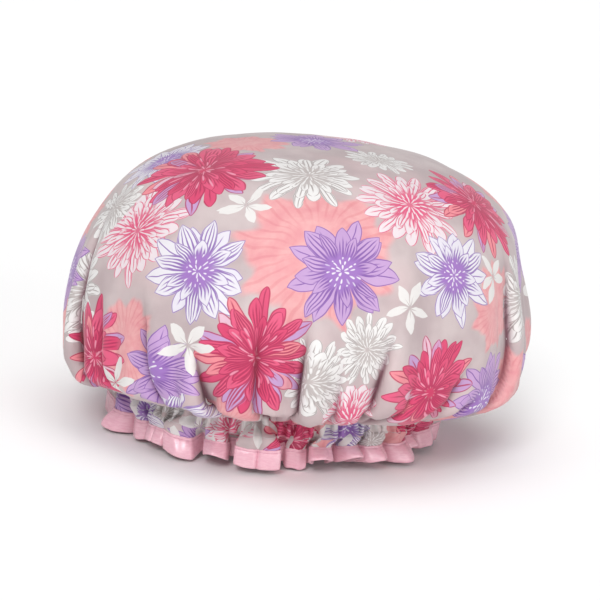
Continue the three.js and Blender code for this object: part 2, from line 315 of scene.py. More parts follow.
# Sharp creases: (level, angle) knots, depth, and the side (+1 or -1) whose cloth laps over the crease.
CREASES = [
    (((0.72, -84.5), (0.86, -80.0), (1.00, -75.5), (1.25, -72.0), (1.60, -70.5), (1.95, -70.0)), 8.0, 1),
    (((0.74, -100.5), (0.90, -96.0), (1.10, -91.5), (1.32, -87.0), (1.60, -85.0), (1.95, -84.0)), 7.0, 1),
    (((0.80, -68.6), (0.96, -65.0), (1.15, -62.0), (1.45, -59.5), (1.95, -58.5)), 9.0, -1),
    (((0.66, -52.8), (0.80, -52.6), (0.95, -51.8), (1.25, -50.4), (1.60, -50.0), (1.95, -50.0)), 2.8, -1),
    (((0.72, -40.8), (0.90, -40.0), (1.05, -39.6), (1.30, -40.5), (1.55, -41.5), (1.95, -42.0)), 7.5, 1),
    (((0.86, 9.0), (0.98, 1.5), (1.12, -3.5), (1.35, -7.0), (1.60, -9.0), (1.95, -10.0)), 10.0, -1),
    (((0.74, -17.5), (1.02, -21.5), (1.20, -23.5), (1.40, -25.0), (1.60, -26.0), (1.95, -27.0)), 6.2, 1),
    (((0.60, 26.0), (0.74, 27.5), (0.90, 27.0), (1.15, 23.0), (1.45, 20.0), (1.95, 19.0)), 5.0, 1),
    (((0.55, -118.0), (0.75, -114.0), (0.95, -109.0), (1.20, -105.0), (1.50, -103.0), (1.95, -102.0)), 6.0, -1),
    (((0.80, -131.0), (0.95, -128.0), (1.10, -125.0), (1.30, -122.0), (1.50, -120.0), (1.95, -118.0)), 6.0, 1),
    (((0.86, 44.0), (0.98, 42.0), (1.12, 41.0), (1.30, 40.0), (1.50, 40.0), (1.95, 39.0)), 6.5, -1),
    (((1.04, -82.0), (1.20, -79.0), (1.45, -77.0), (1.95, -76.5)), 4.5, -1),
    (((1.08, -57.5), (1.25, -55.5), (1.50, -54.5), (1.95, -54.0)), 4.0, 1),
    (((1.02, -46.5), (1.20, -45.5), (1.50, -45.0), (1.95, -46.0)), 4.2, -1),
    (((1.10, -34.0), (1.30, -34.5), (1.55, -35.5), (1.95, -36.0)), 4.4, -1),
    (((0.82, -31.2), (1.00, -30.5), (1.22, -30.0), (1.50, -31.0), (1.95, -31.5)), 5.2, 1),
    (((0.88, -9.5), (1.06, -13.0), (1.25, -16.0), (1.55, -18.0), (1.95, -19.0)), 5.6, 1),
    (((0.98, 13.0), (1.20, 8.0), (1.50, 4.0), (1.95, 2.0)), 4.8, 1),
    (((1.00, 33.0), (1.20, 31.0), (1.50, 29.0), (1.95, 28.0)), 5.5, 1),
    (((1.05, -113.0), (1.25, -110.0), (1.50, -109.0), (1.95, -108.0)), 4.5, 1),
]


def more_creases():
    r = np.random.RandomState(17)
    out, a = [], 50.0
    while a < 232:
        s0 = r.uniform(0.66, 1.04); lean = r.uniform(-9, 9)
        k = [(s0, a + lean), (s0 + 0.13, a + 0.6 * lean + r.uniform(-1, 1)), (s0 + 0.28, a + 0.25 * lean), (1.5, a), (1.95, a - 0.1 * lean)]
        out.append((tuple(k), r.uniform(4.0, 7.5), r.choice([-1, 1])))
        a += r.uniform(6.5, 17)
    return out


# painted shade: a darker colour laid along the bottoms of the sharp creases
PAINTED_CREASE_SHADE = np.zeros(cloth.count)       # how close each point lies to the bottom of a sharp crease


def crease(x, S, A):
    """Press the sharp creases into the relaxed cloth; the lapping side is shifted over the crease. Also records how
    near each point lies to a crease's bottom, for the painted crease shade.
    """
    r = np.linalg.norm(cloth.P[:, :2], axis=1)
    t = np.stack([-np.sin(A), np.cos(A), 0 * A], 1)
    for knots, depth, side in CREASES + more_creases():
        ks, ka = [k[0] for k in knots], np.radians([k[1] for k in knots])
        c = np.interp(S, ks, ka)
        d = side * turn(A - c) * r
        k = smooth(ks[0], ks[0] + 0.24, S) * (1 - 0.6 * smooth(1.30, 1.75, S)) * (1 - smooth(1.80, 1.97, S)) * depth
        w = 1 - 0.35 * smooth(1.2, 1.8, S)
        valley = np.where(d < 0, np.exp(-np.abs(d) / (7.5 * w)), np.exp(-(np.abs(d) / (2.6 * w)) ** 1.3))
        ridge = np.exp(-((d - 6.6 * w) / (5.0 * w)) ** 2)
        x = x + cloth.N * (1.30 * k * (0.46 * ridge - 0.86 * valley))[:, None]
        # painted shade along the crease bottom; the largest over all creases is kept
        dark = np.where(d < 0, np.exp(-np.abs(d) / 2.6), np.exp(-(np.abs(d) / 1.2) ** 1.5)) * np.clip(k / 5.5, 0, 1)
        np.maximum(PAINTED_CREASE_SHADE, dark, out=PAINTED_CREASE_SHADE)
        x = x - t * (side * k * 0.62 * np.exp(-((d - 4.2 * w) / (3.4 * w)) ** 2))[:, None]
    return x


def opening_gathers(S, A):
    """Gathers that open out up the cloth, mm: many narrow folds at the stitches run into fewer, wider ones."""
    h = 0 * A
    for n, mid, half, amp, seed, lean in ((88, 1.95, 0.10, 1.2, 51, 0.0), (46, 1.78, 0.18, 2.4, 53, 2.0), (34, 1.56, 0.26, 2.6, 55, 3.0),
                                          (25, 1.30, 0.32, 3.2, 57, 2.0), (15, 1.04, 0.34, 3.2, 59, 1.5)):
        ph = wobble(A, (seed, (1, 2, 3, 5, 7, 11)), 2.1)
        size = np.clip(1 + 0.50 * wobble(A, (seed + 1, (3, 5, 8, 13)), 1.0), 0.30, 1.7)
        th = n * A + ph + lean * wobble(A, (seed + 2, (2, 4, 7)), 1.0) * (S - mid)
        v = (1 - np.cos(th)) / 2
        g = (v + 0.010) ** 0.40 - 0.86
        wn = smooth(mid - half * 1.7, mid, S) * (1 - smooth(mid + 0.04, mid + 0.55 * half + 0.06, S) * (n < 80))
        h = h + 1.7 * amp * size * g * wn
    return h * (1 - smooth(1.93, 1.995, S))


def hang(S, A):
    """How the sides of this cap lie in or out of the even envelope, mm."""
    lump = lambda at, wide_, s0, s1: np.exp(-(turn(A - math.radians(at)) / math.radians(wide_)) ** 2) * smooth(s0, s0 + 0.16, S) * (1 - smooth(s1, s1 + 0.3, S))
    h = 1.0 * lump(40, 22, 1.05, 1.55) + 5.8 * lump(-114, 19, 1.02, 1.40) - 2.5 * lump(-138, 26, 0.50, 0.96)
    h = h - 3.0 * lump(-139, 23, 0.84, 1.45) - 2.2 * lump(-139, 20, 1.00, 1.40)
    h = h - 4.2 * lump(45, 24, 0.62, 0.76) + 3.0 * lump(45, 20, 0.82, 0.92)
    h = h + 2.6 * lump(30, 7, 0.98, 1.4) + 3.0 * lump(52, 8, 0.96, 1.3) - 2.5 * lump(41, 5, 0.90, 1.45)
    h = h - 2.0 * lump(150, 30, 0.98, 1.5) + 1.5 * lump(95, 25, 1.00, 1.4) - 2.2 * lump(-165, 20, 1.02, 1.5)
    return h


def settle(x):
    """Give the cloth below the widest level the even slope down to the elastic that it has, keeping its folds."""
    c = cloth
    h = ((x - c.P) * c.N).sum(1)
    x = x.copy()
    for k, (s, n) in enumerate(ROWS):
        if s > 0.95:
            rows = slice(c.start[k], c.start[k] + n)
            f = np.fft.rfft(h[rows])
            broad = np.fft.irfft(f * np.exp(-(np.arange(len(f)) / 9.0) ** 2), n)
            front = np.exp(-(turn(c.A[rows] - math.radians(-46)) / math.radians(56)) ** 4)
            want = -(2.2 - 0.7 * front) * smooth(1.0, 1.30, s) * (1 - smooth(1.72, 1.97, s))
            low = np.exp(-(turn(c.A[rows] - math.radians(24)) / math.radians(24)) ** 2)
            want = want + 6.5 * low * smooth(0.98, 1.22, s) * (1 - smooth(1.55, 1.90, s))
            fold = h[rows] - broad
            fold = np.where(fold > 1.0, 1.0 + 0.32 * (fold - 1.0), fold)      # bulges rest on the ruffle
            x[rows] += c.N[rows] * ((want + fold - h[rows]) * smooth(0.97, 1.12, s) * (1 - smooth(1.94, 1.99, s)))[:, None]
    return x


def start_folds(S, A):
    """Fold heights, mm, that the cloth starts from."""
    up = lambda a, b, c, d: smooth(a, b, S) * (1 - smooth(c, d, S))
    h = pleats(S, A)
    h = h + 1.8 * up(1.80, 1.95, 2.2, 2.3) * np.sin(GATHERS * A + per(A, GATHER_PHASE))
    h = h + 2.6 * up(1.45, 1.80, 1.90, 2.0) * np.sin(44 * A + 0.5 * per(A, GATHER_PHASE) + wobble(A, (11, (2, 3)), 0.5))
    h = h + 0.9 * up(1.10, 1.45, 1.60, 1.9) * np.sin(29 * A + wobble(A, (12, (2, 3, 5, 7)), 1.9))
    h = h + 0.8 * up(0.30, 0.70, 1.10, 1.60) * np.sin(9 * A + wobble(A, (14, (1, 2, 3)), 1.5))
    return h


def relax(steps):
    c = cloth
    x = c.P + c.N * start_folds(c.S, c.A)[:, None]
    k = len(ROWS) - 1
    last = slice(c.start[k], c.start[k] + ROWS[k][1])
    x[last] = ring_points(CH_TOP, 2.1, 0.9, PHI)
    free = np.ones(c.count); free[last] = 0
    groups = []
    for pairs, kind in c.groups():
        i, j = pairs[:, 0], pairs[:, 1]
        rest = rest_length(i, j)
        w = free[i] + free[j]
        ok = w > 0
        i, j, rest, w = i[ok], j[ok], rest[ok], w[ok]
        if kind == 3:
            rest = rest * 0.955
        groups.append((i, j, rest, (free[i] / w)[:, None], (free[j] / w)[:, None], kind))
    S = c.S
    lo_ = -(0.5 + 3.0 * smooth(0.40, 0.8, S) + 9.0 * smooth(0.80, 1.3, S) - 4.5 * smooth(1.45, 1.8, S))
    hi_ = 0.3 + 1.2 * smooth(0.5, 1.0, S) + 1.6 * smooth(0.95, 1.25, S) - 3.0 * smooth(1.30, 1.70, S)
    push = (0.020 * (1 - 1.2 * smooth(1.1, 1.5, S)))[:, None] * c.N
    grav = np.zeros_like(x); grav[:, 2] = -0.045 * smooth(0.7, 1.1, S)
    xp = x.copy()
    stiff = (1.0, 0.35, 0.25, 0.16)
    fr = free[:, None]
    for it in range(steps):
        v = (x - xp) * 0.90
        xp = x.copy()
        x = x + (v + push + grav) * fr
        for _ in range(2):
            for i, j, rest, wi, wj, kind in groups:
                d = x[j] - x[i]
                l = np.sqrt((d * d).sum(1)) + 1e-9
                q = (l - rest)
                if kind >= 2:
                    q = np.minimum(q, 0)
                d *= (stiff[kind] * q / l)[:, None]
                x[i] += d * wi
                x[j] -= d * wj
        dx = x - c.P
        h = (dx * c.N).sum(1)
        tang = dx - h[:, None] * c.N
        hc = np.clip(h, lo_, hi_)
        x = x + ((hc - h)[:, None] * c.N - 0.004 * tang) * fr
    return x


def neighbours_smooth(x, times, keep, weight):
    """Laplacian smoothing along rows and columns; weight 0 leaves a vertex where it is."""
    c = cloth
    pairs = np.concatenate([p for p, kind in c.groups() if kind == 0])
    mids = []
    for k in range(1, len(ROWS)):
        n = ROWS[k - 1][1]
        if ROWS[k][1] == 2 * n:
            j = np.arange(n)
            mids.append(np.stack([c.start[k] + 2 * j + 1, c.start[k - 1] + j, c.start[k - 1] + (j + 1) % n], 1))
    mids = np.concatenate(mids)
    for _ in range(times):
        acc = np.zeros_like(x); cnt = np.zeros(len(x))
        for k in range(3):
            acc[:, k] = np.bincount(pairs[:, 0], x[pairs[:, 1], k], len(x)) + np.bincount(pairs[:, 1], x[pairs[:, 0], k], len(x))
        cnt = (np.bincount(pairs[:, 0], minlength=len(x)) + np.bincount(pairs[:, 1], minlength=len(x))).astype(float)
        acc[mids[:, 0]] += 0.5 * (x[mids[:, 1]] + x[mids[:, 2]]); cnt[mids[:, 0]] += 1
        avg = acc / np.maximum(cnt, 1)[:, None]
        x = x + (avg - x) * ((1 - keep) * weight)[:, None]
    return x


BODY = relax(220)
w = np.ones(cloth.count); w[0] = 0; w[cloth.start[-1]:] = 0
BODY = neighbours_smooth(BODY, 5, 0.4, w)
BODY = BODY + cloth.N * (0.60 * pleats(cloth.S, cloth.A) + opening_gathers(cloth.S, cloth.A))[:, None]
BODY = settle(crease(BODY, cloth.S, cloth.A))
BODY = BODY + cloth.N * hang(cloth.S, cloth.A)[:, None]
UNDULATION = 0.55 * smooth(0.15, 0.45, cloth.S) * (1 - smooth(1.2, 1.6, cloth.S)) * (
    np.sin(13 * cloth.A + 2.2 * np.sin(3.1 * cloth.S + 1.0) + wobble(cloth.A, (31, (2, 3, 5)), 1.8)) * (0.5 + 0.5 * np.sin(4 * cloth.A + 5.0 * cloth.S))
    + 0.6 * np.sin(8 * cloth.S + wobble(cloth.A, (32, (3, 4, 7)), 2.5)) * np.sin(6 * cloth.A + 1.3))
BODY = BODY + cloth.N * UNDULATION[:, None]
BODY = neighbours_smooth(BODY, 2, 0.6, w)
# how deep each point lies between the folds beside it, 0 to 1: painted shade, the print colour is darkened there
wide_ = neighbours_smooth(BODY, 60, 0.25, w)
PAINTED_HOLLOW_SHADE = np.clip(((wide_ - BODY) * cloth.N).sum(1) / 1.9, 0, 1) * smooth(0.5, 0.9, cloth.S)

# ---------------------------------------------------------------- the ruffle below the elastic
RUFFLE_TOP = 28.2                     # level where the ruffle's lobes begin
RUFFLE_LENGTH = 28.9                  # cloth from there to the fold of the binding
BIND = 12.6                           # width of the binding
NT = 34                               # steps down the ruffle

# Outlines of one lobe at the hem: along and out, in lobe widths.
OUTLINES = {
    "box": [(0, -0.02), (0.19, -0.07), (0.15, 0.20), (0.09, 0.47), (0.45, 0.53), (0.50, 0.45), (0.55, 0.53), (0.92, 0.48), (0.86, 0.20), (0.81, -0.07), (1, -0.02)],
    "round": [(0, -0.02), (0.20, -0.07), (0.08, 0.22), (0.16, 0.48), (0.50, 0.62), (0.84, 0.48), (0.92, 0.22), (0.80, -0.07), (1, -0.02)],
    "right": [(0, -0.02), (0.12, -0.06), (0.26, 0.24), (0.30, 0.42), (0.72, 0.60), (1.12, 0.52), (1.12, 0.42), (0.78, 0.14), (0.82, -0.06), (1, -0.02)],
    "left": [(0, -0.02), (0.18, -0.06), (0.22, 0.14), (-0.12, 0.42), (-0.12, 0.52), (0.28, 0.60), (0.70, 0.42), (0.74, 0.24), (0.88, -0.06), (1, -0.02)],
    "wedge": [(0, -0.02), (0.16, -0.06), (0.22, 0.28), (0.44, 0.64), (0.56, 0.62), (0.76, 0.28), (0.84, -0.06), (1, -0.02)],
    "flat": [(0, -0.02), (0.14, -0.04), (0.12, 0.22), (0.50, 0.34), (0.88, 0.22), (0.86, -0.04), (1, -0.02)],
}

# Lobes that the photograph shows: where each begins (degrees), outline, depth, flare,
# reach at the hem (mm), drop (mm), turn towards the hem (mm), slant of its edge.
LOBES = [
    (-136.0, "left", 1.00, 1.05, 0.5, 0.5, -1.0, 0.20),
    (-118.0, "round", 1.10, 0.95, 8.0, 0.6, -1.0, 0.26),
    (-105.0, "round", 0.85, 0.80, 1.0, 0.0, 2.0, -0.12),
    (-94.0, "box", 1.10, 0.74, 4.0, -2.2, 1.0, 0.05),
    (-83.5, "left", 1.05, 1.25, 3.5, 0.4, 4.5, 0.28),
    (-71.0, "round", 1.10, 0.95, 10.0, -3.6, 2.5, 0.26),
    (-60.5, "box", 1.00, 1.00, 1.5, -0.2, 0.0, 0.0),
    (-41.5, "flat", 1.15, 0.85, -1.5, 1.0, 2.0, 0.10),
    (-31.0, "left", 1.10, 1.15, 9.5, -4.6, -2.5, -0.22),
    (-20.0, "round", 1.15, 0.95, 9.5, -5.2, 1.5, 0.15),
    (-10.5, "round", 1.10, 0.95, 7.5, -3.0, 0.5, -0.18),
    (2.0, "right", 1.15, 1.20, 8.5, 0.5, 3.0, 0.30),
    (13.0, "round", 0.95, 1.00, 6.0, -4.4, 1.0, -0.16),
    (24.0, "right", 0.95, 1.00, 3.5, -1.0, 0.0, 0.10),
]


def more_lobes():
    r = np.random.RandomState(77)
    gap = r.uniform(0.66, 1.35, 14); gap *= (224.0 - 38.0) / gap.sum()
    out, a = list(LOBES), 38.0
    for g in gap:
        out.append((a, r.choice(["box", "round", "right", "left", "wedge", "flat"]), r.uniform(0.80, 1.10), r.uniform(0.75, 1.25),
                    r.uniform(-2.0, 5.5), r.uniform(-2.0, 1.0), r.uniform(-4.0, 4.0), r.uniform(-0.28, 0.28)))
        a += g
    return out


LOBE = more_lobes()
LOBE_FROM = np.radians([l[0] for l in LOBE] + [LOBE[0][0] + 360.0])


def even_out(x, sigma):
    """Gaussian smoothing of a closed row of values."""
    f = np.fft.rfftfreq(len(x)) * 2 * math.pi
    return np.fft.irfft(np.fft.rfft(x) * np.exp(-0.5 * (f * sigma) ** 2), len(x))


def hem_outline():
    """Along and outward offset, mm, of the hem from the elastic's line, and the weight of the outer faces."""
    n = 7168
    phi = LOBE_FROM[0] + np.arange(n) * 2 * math.pi / n
    _, _, _, dl = frame_at(phi)
    k = np.clip(np.searchsorted(LOBE_FROM, phi, side="right") - 1, 0, len(LOBE) - 1)
    q = (phi - LOBE_FROM[k]) / (LOBE_FROM[k + 1] - LOBE_FROM[k])
    lam = dl * (LOBE_FROM[k + 1] - LOBE_FROM[k])
    a, o, top, side = 0 * phi, 0 * phi, 0 * phi, 0 * phi
    for j, l in enumerate(LOBE):
        m = k == j
        P = np.array(OUTLINES[l[1]], float); P[:, 1] *= l[2]
        side[m] = (q[m] - 0.5) * lam[m]
        L = np.concatenate([[0], np.cumsum(np.linalg.norm(np.diff(P, axis=0), axis=1))]); L /= L[-1]
        a[m] = np.interp(q[m], L, P[:, 0]); o[m] = np.interp(q[m], L, P[:, 1])
        top[m] = np.clip(o[m] / P[:, 1].max(), 0, 1)
    # a wide lobe is no deeper than the cloth allows
    size = np.minimum(1.0, 17.0 / (0.5 * lam))
    return phi, even_out((a - q) * lam, 4.6), even_out(o * lam * size, 4.6), even_out(top, 8.0), even_out(side * top, 8.0)


HEM_PHI, HEM_A, HEM_O, HEM_TOP, HEM_SIDE = hem_outline()


def between_lobes(phi, column):
    """A value of the lobe table, carried smoothly from the middle of one lobe to the next."""
    mid = (LOBE_FROM[1:] + LOBE_FROM[:-1]) / 2
    val = np.array([l[column] for l in LOBE])
    f = np.mod(phi - mid[0], 2 * math.pi) + mid[0]
    k = np.clip(np.searchsorted(mid, f, side="right") - 1, 0, len(mid) - 1)
    nxt = np.append(mid[1:], mid[0] + 2 * math.pi)
    q = (f - mid[k]) / (nxt[k] - mid[k])
    q = q * q * (3 - 2 * q)
    return val[k] * (1 - q) + np.roll(val, -1)[k] * q


def ruffle_grid(phi):
    """Positions (NT+1, n, 3) of the ruffle's middle surface, from the upper stitches to the hem."""
    p0, out, along, dl = frame_at(phi)
    f = np.mod(phi - HEM_PHI[0], 2 * math.pi) + HEM_PHI[0]
    at = lambda y: np.interp(f, np.append(HEM_PHI, HEM_PHI[0] + 2 * math.pi), np.append(y, y[0]))
    a, o, top, side = at(HEM_A), at(HEM_O), at(HEM_TOP), at(HEM_SIDE)
    flare, reach, fall, skew, slant = [between_lobes(phi, c) for c in (3, 4, 5, 6, 7)]
    ps, falls = [], []
    for i in range(NT + 1):
        t = i / NT
        g = smooth(0.0, 0.56, t)
        ga = smooth(0.0, 0.50, t)
        fo, fa = gather_offset(1.9 * (1 - smooth(0.15, 0.66, t)) + 0.02, phi)
        late = smooth(0.45, 1.0, t)
        o2 = 1.3 - 8.6 * smooth(0.20, 0.60, t) + g * o + fo + late * (reach * top - 0.8 * (1 - top))
        o2 = np.where(t < 0.27, np.logaddexp(2.5 * o2, -2.5) / 2.5, o2)
        a2 = ga * a + (flare - 1) * side * late + fa + skew * top * late
        ps.append(p0 + out * o2[:, None] + along * a2[:, None])
        falls.append(1.7 * fall * t * t * top + slant * side * late)
    ps = np.array(ps)
    step = RUFFLE_LENGTH / NT
    hor = np.linalg.norm(np.diff(ps[..., :2], axis=0), axis=2)
    dz = np.sqrt(np.maximum(step ** 2 - 0.42 * hor ** 2, (0.62 * step) ** 2))
    drop = np.concatenate([np.zeros((1, len(phi))), np.cumsum(dz, 0)])
    ps[..., 2] = RUFFLE_TOP - drop - np.array(falls)
    return ps


def level_out(grid, lowest):
    """Let the hem hang to the level that the cap stands on."""
    z = grid[-1, :, 2]
    t = np.linspace(0, 1, NT + 1)[:, None]
    grid[..., 2] += t * (lowest - z.min())
    return grid


def grid_normals(G, closed=True):
    du = np.roll(G, -1, 1) - np.roll(G, 1, 1)
    dv = np.gradient(G, axis=0)
    n = np.cross(dv, du)
    n /= np.linalg.norm(n, axis=2)[..., None] + 1e-9
    return n                           # points outward: du runs round, dv runs down


def grid_at(G, t):
    x = np.clip(t, 0, 1) * (len(G) - 1)
    i = min(int(x), len(G) - 2); f = x - i
    return G[i] * (1 - f) + G[i + 1] * f

# ---------------------------------------------------------------- shell: body, channel and ruffle in one sheet
CHANNEL_Z = [28.8]
RUF = level_out(ruffle_grid(PHI), 1.0)
T_ST = (RUFFLE_TOP - ST_BOT) / RUFFLE_LENGTH
RUF_T = [0.0, 0.03, 0.07, 0.12, 0.17, 0.22, T_ST, 0.31, 0.35, 0.41, 0.48, 0.56, 0.66, 0.76, 0.86, 0.95]
RUF_N = grid_normals(RUF)


def shell_rows(kind):
    """Rows of 896 points below the body, for the shell or the lining."""
    rows = []
    for z in CHANNEL_Z:
        if kind == "shell":
            rows.append(ring_points(z, 1.95, 0.9 if z > 28 else 1.2, PHI))
        else:
            rows.append(ring_points(z, 1.9 if z > 28 else 1.1, -1.2 if z > 28 else -4.6, PHI))
    for t in RUF_T:
        if kind == "lining" and t < T_ST - 0.01:
            dip = smooth(0.0, 0.05, t)
            rows.append(ring_points(RUFFLE_TOP - 0.85 * t * RUFFLE_LENGTH, 1.9 - 0.9 * dip, -1.2 - 3.7 * dip, PHI))
            continue
        off = 0.0 if kind == "shell" else -0.6
        rows.append(grid_at(RUF, t) + off * grid_at(RUF_N, t))
    return rows


def build_sheet(body, kind):
    extra = shell_rows(kind)
    verts = np.concatenate([body] + extra)
    faces = list(cloth.faces)
    a0 = cloth.start[-1]
    b0 = cloth.count
    for _ in extra:
        for j in range(NP):
            j1 = (j + 1) % NP
            faces.append((a0 + j, b0 + j, b0 + j1, a0 + j1))
        a0, b0 = b0, b0 + NP
    return verts, faces


SHELL, SHELL_F = build_sheet(BODY, "shell")

# the lining lies inside the shell and is smoother than it
h_sh = ((BODY - cloth.P) * cloth.N).sum(1)
soft = neighbours_smooth(BODY, 6, 0.4, w)
h_li = ((soft - cloth.P) * cloth.N).sum(1)
gap = 0.7 + 0.5 * smooth(0.3, 1.0, cloth.S)
near = h_sh.copy()
for _ in range(3):
    m = near.copy()
    for pairs in [p for p, kind in cloth.groups() if kind == 0]:
        np.minimum.at(m, pairs[:, 0], near[pairs[:, 1]]); np.minimum.at(m, pairs[:, 1], near[pairs[:, 0]])
    near = np.where(cloth.S > 0.9, m, near)
drop = np.minimum(h_li - gap, near - 0.5) - h_li
LINING_BODY = soft + cloth.N * drop[:, None]
last = slice(cloth.start[-1], cloth.count)
LINING_BODY[last] = ring_points(CH_TOP, 2.1, -0.3, PHI)
LINING, LINING_F = build_sheet(LINING_BODY, "lining")

# ---------------------------------------------------------------- binding: folded satin over the hem
NB = 1792
PHI_B = np.arange(NB) * 2 * math.pi / NB
RUF_B = level_out(ruffle_grid(PHI_B), 1.0)
RUF_BN = grid_normals(RUF_B)


def band_profile():
    """(t, offset) down the outside, round the fold and up the inside."""
    t_of = lambda mm: 1 - (BIND - mm) / RUFFLE_LENGTH
    outer = [(0.00, 0.10), (0.10, 0.42), (0.40, 0.62), (1.0, 0.64), (1.55, 0.50), (1.85, 0.38), (2.15, 0.50), (2.7, 0.62),
             (3.8, 0.66), (5.4, 0.70), (7.2, 0.72), (9.0, 0.72), (10.8, 0.70), (11.8, 0.64), (12.3, 0.52), (12.6, 0.25)]
    inner = [(12.6, -0.35), (12.3, -0.75), (11.7, -0.95), (9.6, -1.05), (7.0, -1.05), (5.0, -1.0), (3.2, -0.95), (2.15, -0.88),
             (1.85, -0.78), (1.5, -0.88), (0.6, -0.95), (0.1, -0.8), (0.0, -0.55)]
    return [(t_of(m), o, m) for m, o in outer] + [(t_of(m), o, m) for m, o in inner]


def pucker(phi, m, seed):
    """Small ripples of the satin that start at the stitches and fade down the band, mm."""
    th = 330 * phi + wobble(phi, (seed, (5, 9, 14, 22, 40)), 2.4)
    a = np.exp(-abs(m - 1.85) / 1.6)
    broad = np.sin(147 * phi + wobble(phi, (seed + 1, (4, 7, 13, 29)), 2.6))
    return 0.13 * a * np.sin(th) * (1 + 0.5 * wobble(phi, (seed + 2, (11, 17, 29)), 1.0)) + 0.12 * np.exp(-abs(m - 4) / 4.0) * broad


def build_band():
    prof = band_profile()
    rows = []
    for t, off, m in prof:
        p, n = grid_at(RUF_B, t), grid_at(RUF_BN, t)
        k = pucker(PHI_B, m, 61 if off > 0 else 71)
        edge = 0.0 if m > 0.3 else 0.12 * np.sin(330 * PHI_B + wobble(PHI_B, (61, (5, 9, 14, 22, 40)), 2.4))
        rows.append(p + n * (off + np.sign(off) * np.maximum(k, -0.10))[:, None] + np.array([0, 0, 1.0]) * np.asarray(edge).reshape(-1, 1))
    n = len(rows)
    V = np.concatenate(rows)
    F = []
    for k in range(n - 1):
        a0, b0 = k * NB, (k + 1) * NB
        for j in range(NB):
            j1 = (j + 1) % NB
            F.append((a0 + j, b0 + j, b0 + j1, a0 + j1))
    return V, F


BAND, BAND_F = build_band()


# ---------------------------------------------------------------- stitches
def stitched_line(path, normal, radius, pitch, rise, sides=6, per_stitch=5, duty=0.62):
    """A row of stitches along a closed path: a tube that comes up for each stitch and dips between."""
    d = np.linalg.norm(np.roll(path, -1, 0) - path, axis=1)
    L = np.concatenate([[0], np.cumsum(d)])
    n = int(round(L[-1] / pitch))
    t = np.arange(n * per_stitch) / (n * per_stitch) * L[-1]
    pp = np.append(path, path[:1], 0); nn = np.append(normal, normal[:1], 0)
    c = np.stack([np.interp(t, L, pp[:, k]) for k in range(3)], 1)
    nr = np.stack([np.interp(t, L, nn[:, k]) for k in range(3)], 1)
    nr /= np.linalg.norm(nr, axis=1)[:, None]
    f = (np.arange(n * per_stitch) % per_stitch) / per_stitch
    up_ = np.where(f < duty, np.sin(math.pi * np.clip(f / duty, 0, 1)) ** 0.6, -0.9 * np.sin(math.pi * (f - duty) / (1 - duty)))
    c = c + nr * (rise * up_)[:, None]
    tang = np.roll(c, -1, 0) - np.roll(c, 1, 0); tang /= np.linalg.norm(tang, axis=1)[:, None]
    b = np.cross(tang, nr); b /= np.linalg.norm(b, axis=1)[:, None]
    n2 = np.cross(b, tang)
    V = []
    for k in range(sides):
        a = 2 * math.pi * k / sides
        V.append(c + radius * (math.cos(a) * n2 + math.sin(a) * b))
    V = np.stack(V, 1).reshape(-1, 3)
    m = n * per_stitch
    F = []
    for i in range(m):
        for k in range(sides):
            k1, i1 = (k + 1) % sides, (i + 1) % m
            F.append((i * sides + k, i1 * sides + k, i1 * sides + k1, i * sides + k1))
    return V, F


def ring_normals(z, amp, mean):
    p = ring_points(z, amp, mean, PHI)
    t = np.roll(p, -1, 0) - np.roll(p, 1, 0)
    n = np.stack([t[:, 1], -t[:, 0], 0 * t[:, 0]], 1)
    return p, n / np.linalg.norm(n, axis=1)[:, None]


# ---------------------------------------------------------------- the print: where each flower lies
# kind, palette, level, angle (degrees), radius in mm.
# A: layered dahlia, B: veined star flower, C: line-drawn aster, D: small five-petal flower, E: soft coral shadow flower.
FLOWERS = [
    ("B", 0, 0.666, -70.5, 30), ("B", 1, 0.632, -33.0, 31.5), ("B", 0, 0.666, 1.0, 29),
    ("A", 0, 0.858, -52.5, 36), ("A", 0, 0.967, -6.0, 34), ("A", 0, 0.373, -93.5, 38), ("A", 0, 0.490, 28.0, 36), ("A", 0, 0.958, -99.5, 37),
    ("C", 0, 0.607, -95.0, 32), ("C", 0, 0.440, -5.5, 33), ("C", 0, 1.094, -27.0, 25), ("C", 1, 0.306, -47.0, 30), ("C", 1, 0.197, 17.0, 22),
    ("C", 1, 0.833, -25.0, 21), ("C", 1, 0.908, -37.0, 24), ("C", 1, 0.808, -112.0, 28), ("C", 1, 0.791, 33.0, 26),
    ("B", 1, 0.064, 136.5, 31), ("B", 0, 0.406, -122.0, 28), ("B", 1, 0.700, 52.0, 28), ("B", 1, 1.077, 13.5, 29),
    ("B", 1, 0.933, -76.0, 27), ("B", 0, 1.22, -70.0, 23),
    ("D", 0, 0.465, -65.0, 14), ("D", 0, 0.849, -69.0, 15), ("D", 0, 0.732, -14.5, 14), ("D", 0, 0.699, 17.0, 15), ("D", 0, 1.00, -88.5, 15),
    ("E", 0, 0.574, -40.0, 47), ("E", 0, 0.891, -86.5, 29), ("E", 0, 0.774, 17.0, 27), ("E", 0, 1.262, -56.5, 24), ("E", 0, 1.060, 27.0, 25),
    ("E", 0, 0.181, -126.0, 26), ("E", 0, 0.557, 62.0, 28),
    ("C", 1, 0.585, -113.5, 24), ("E", 0, 0.672, -137.0, 26), ("B", 1, 0.800, -127.0, 27), ("C", 1, 0.900, -106.0, 22),
]
SIZES = {"A": (33, 38), "B": (27, 32), "C": (22, 33), "D": (13, 16), "E": (26, 44)}


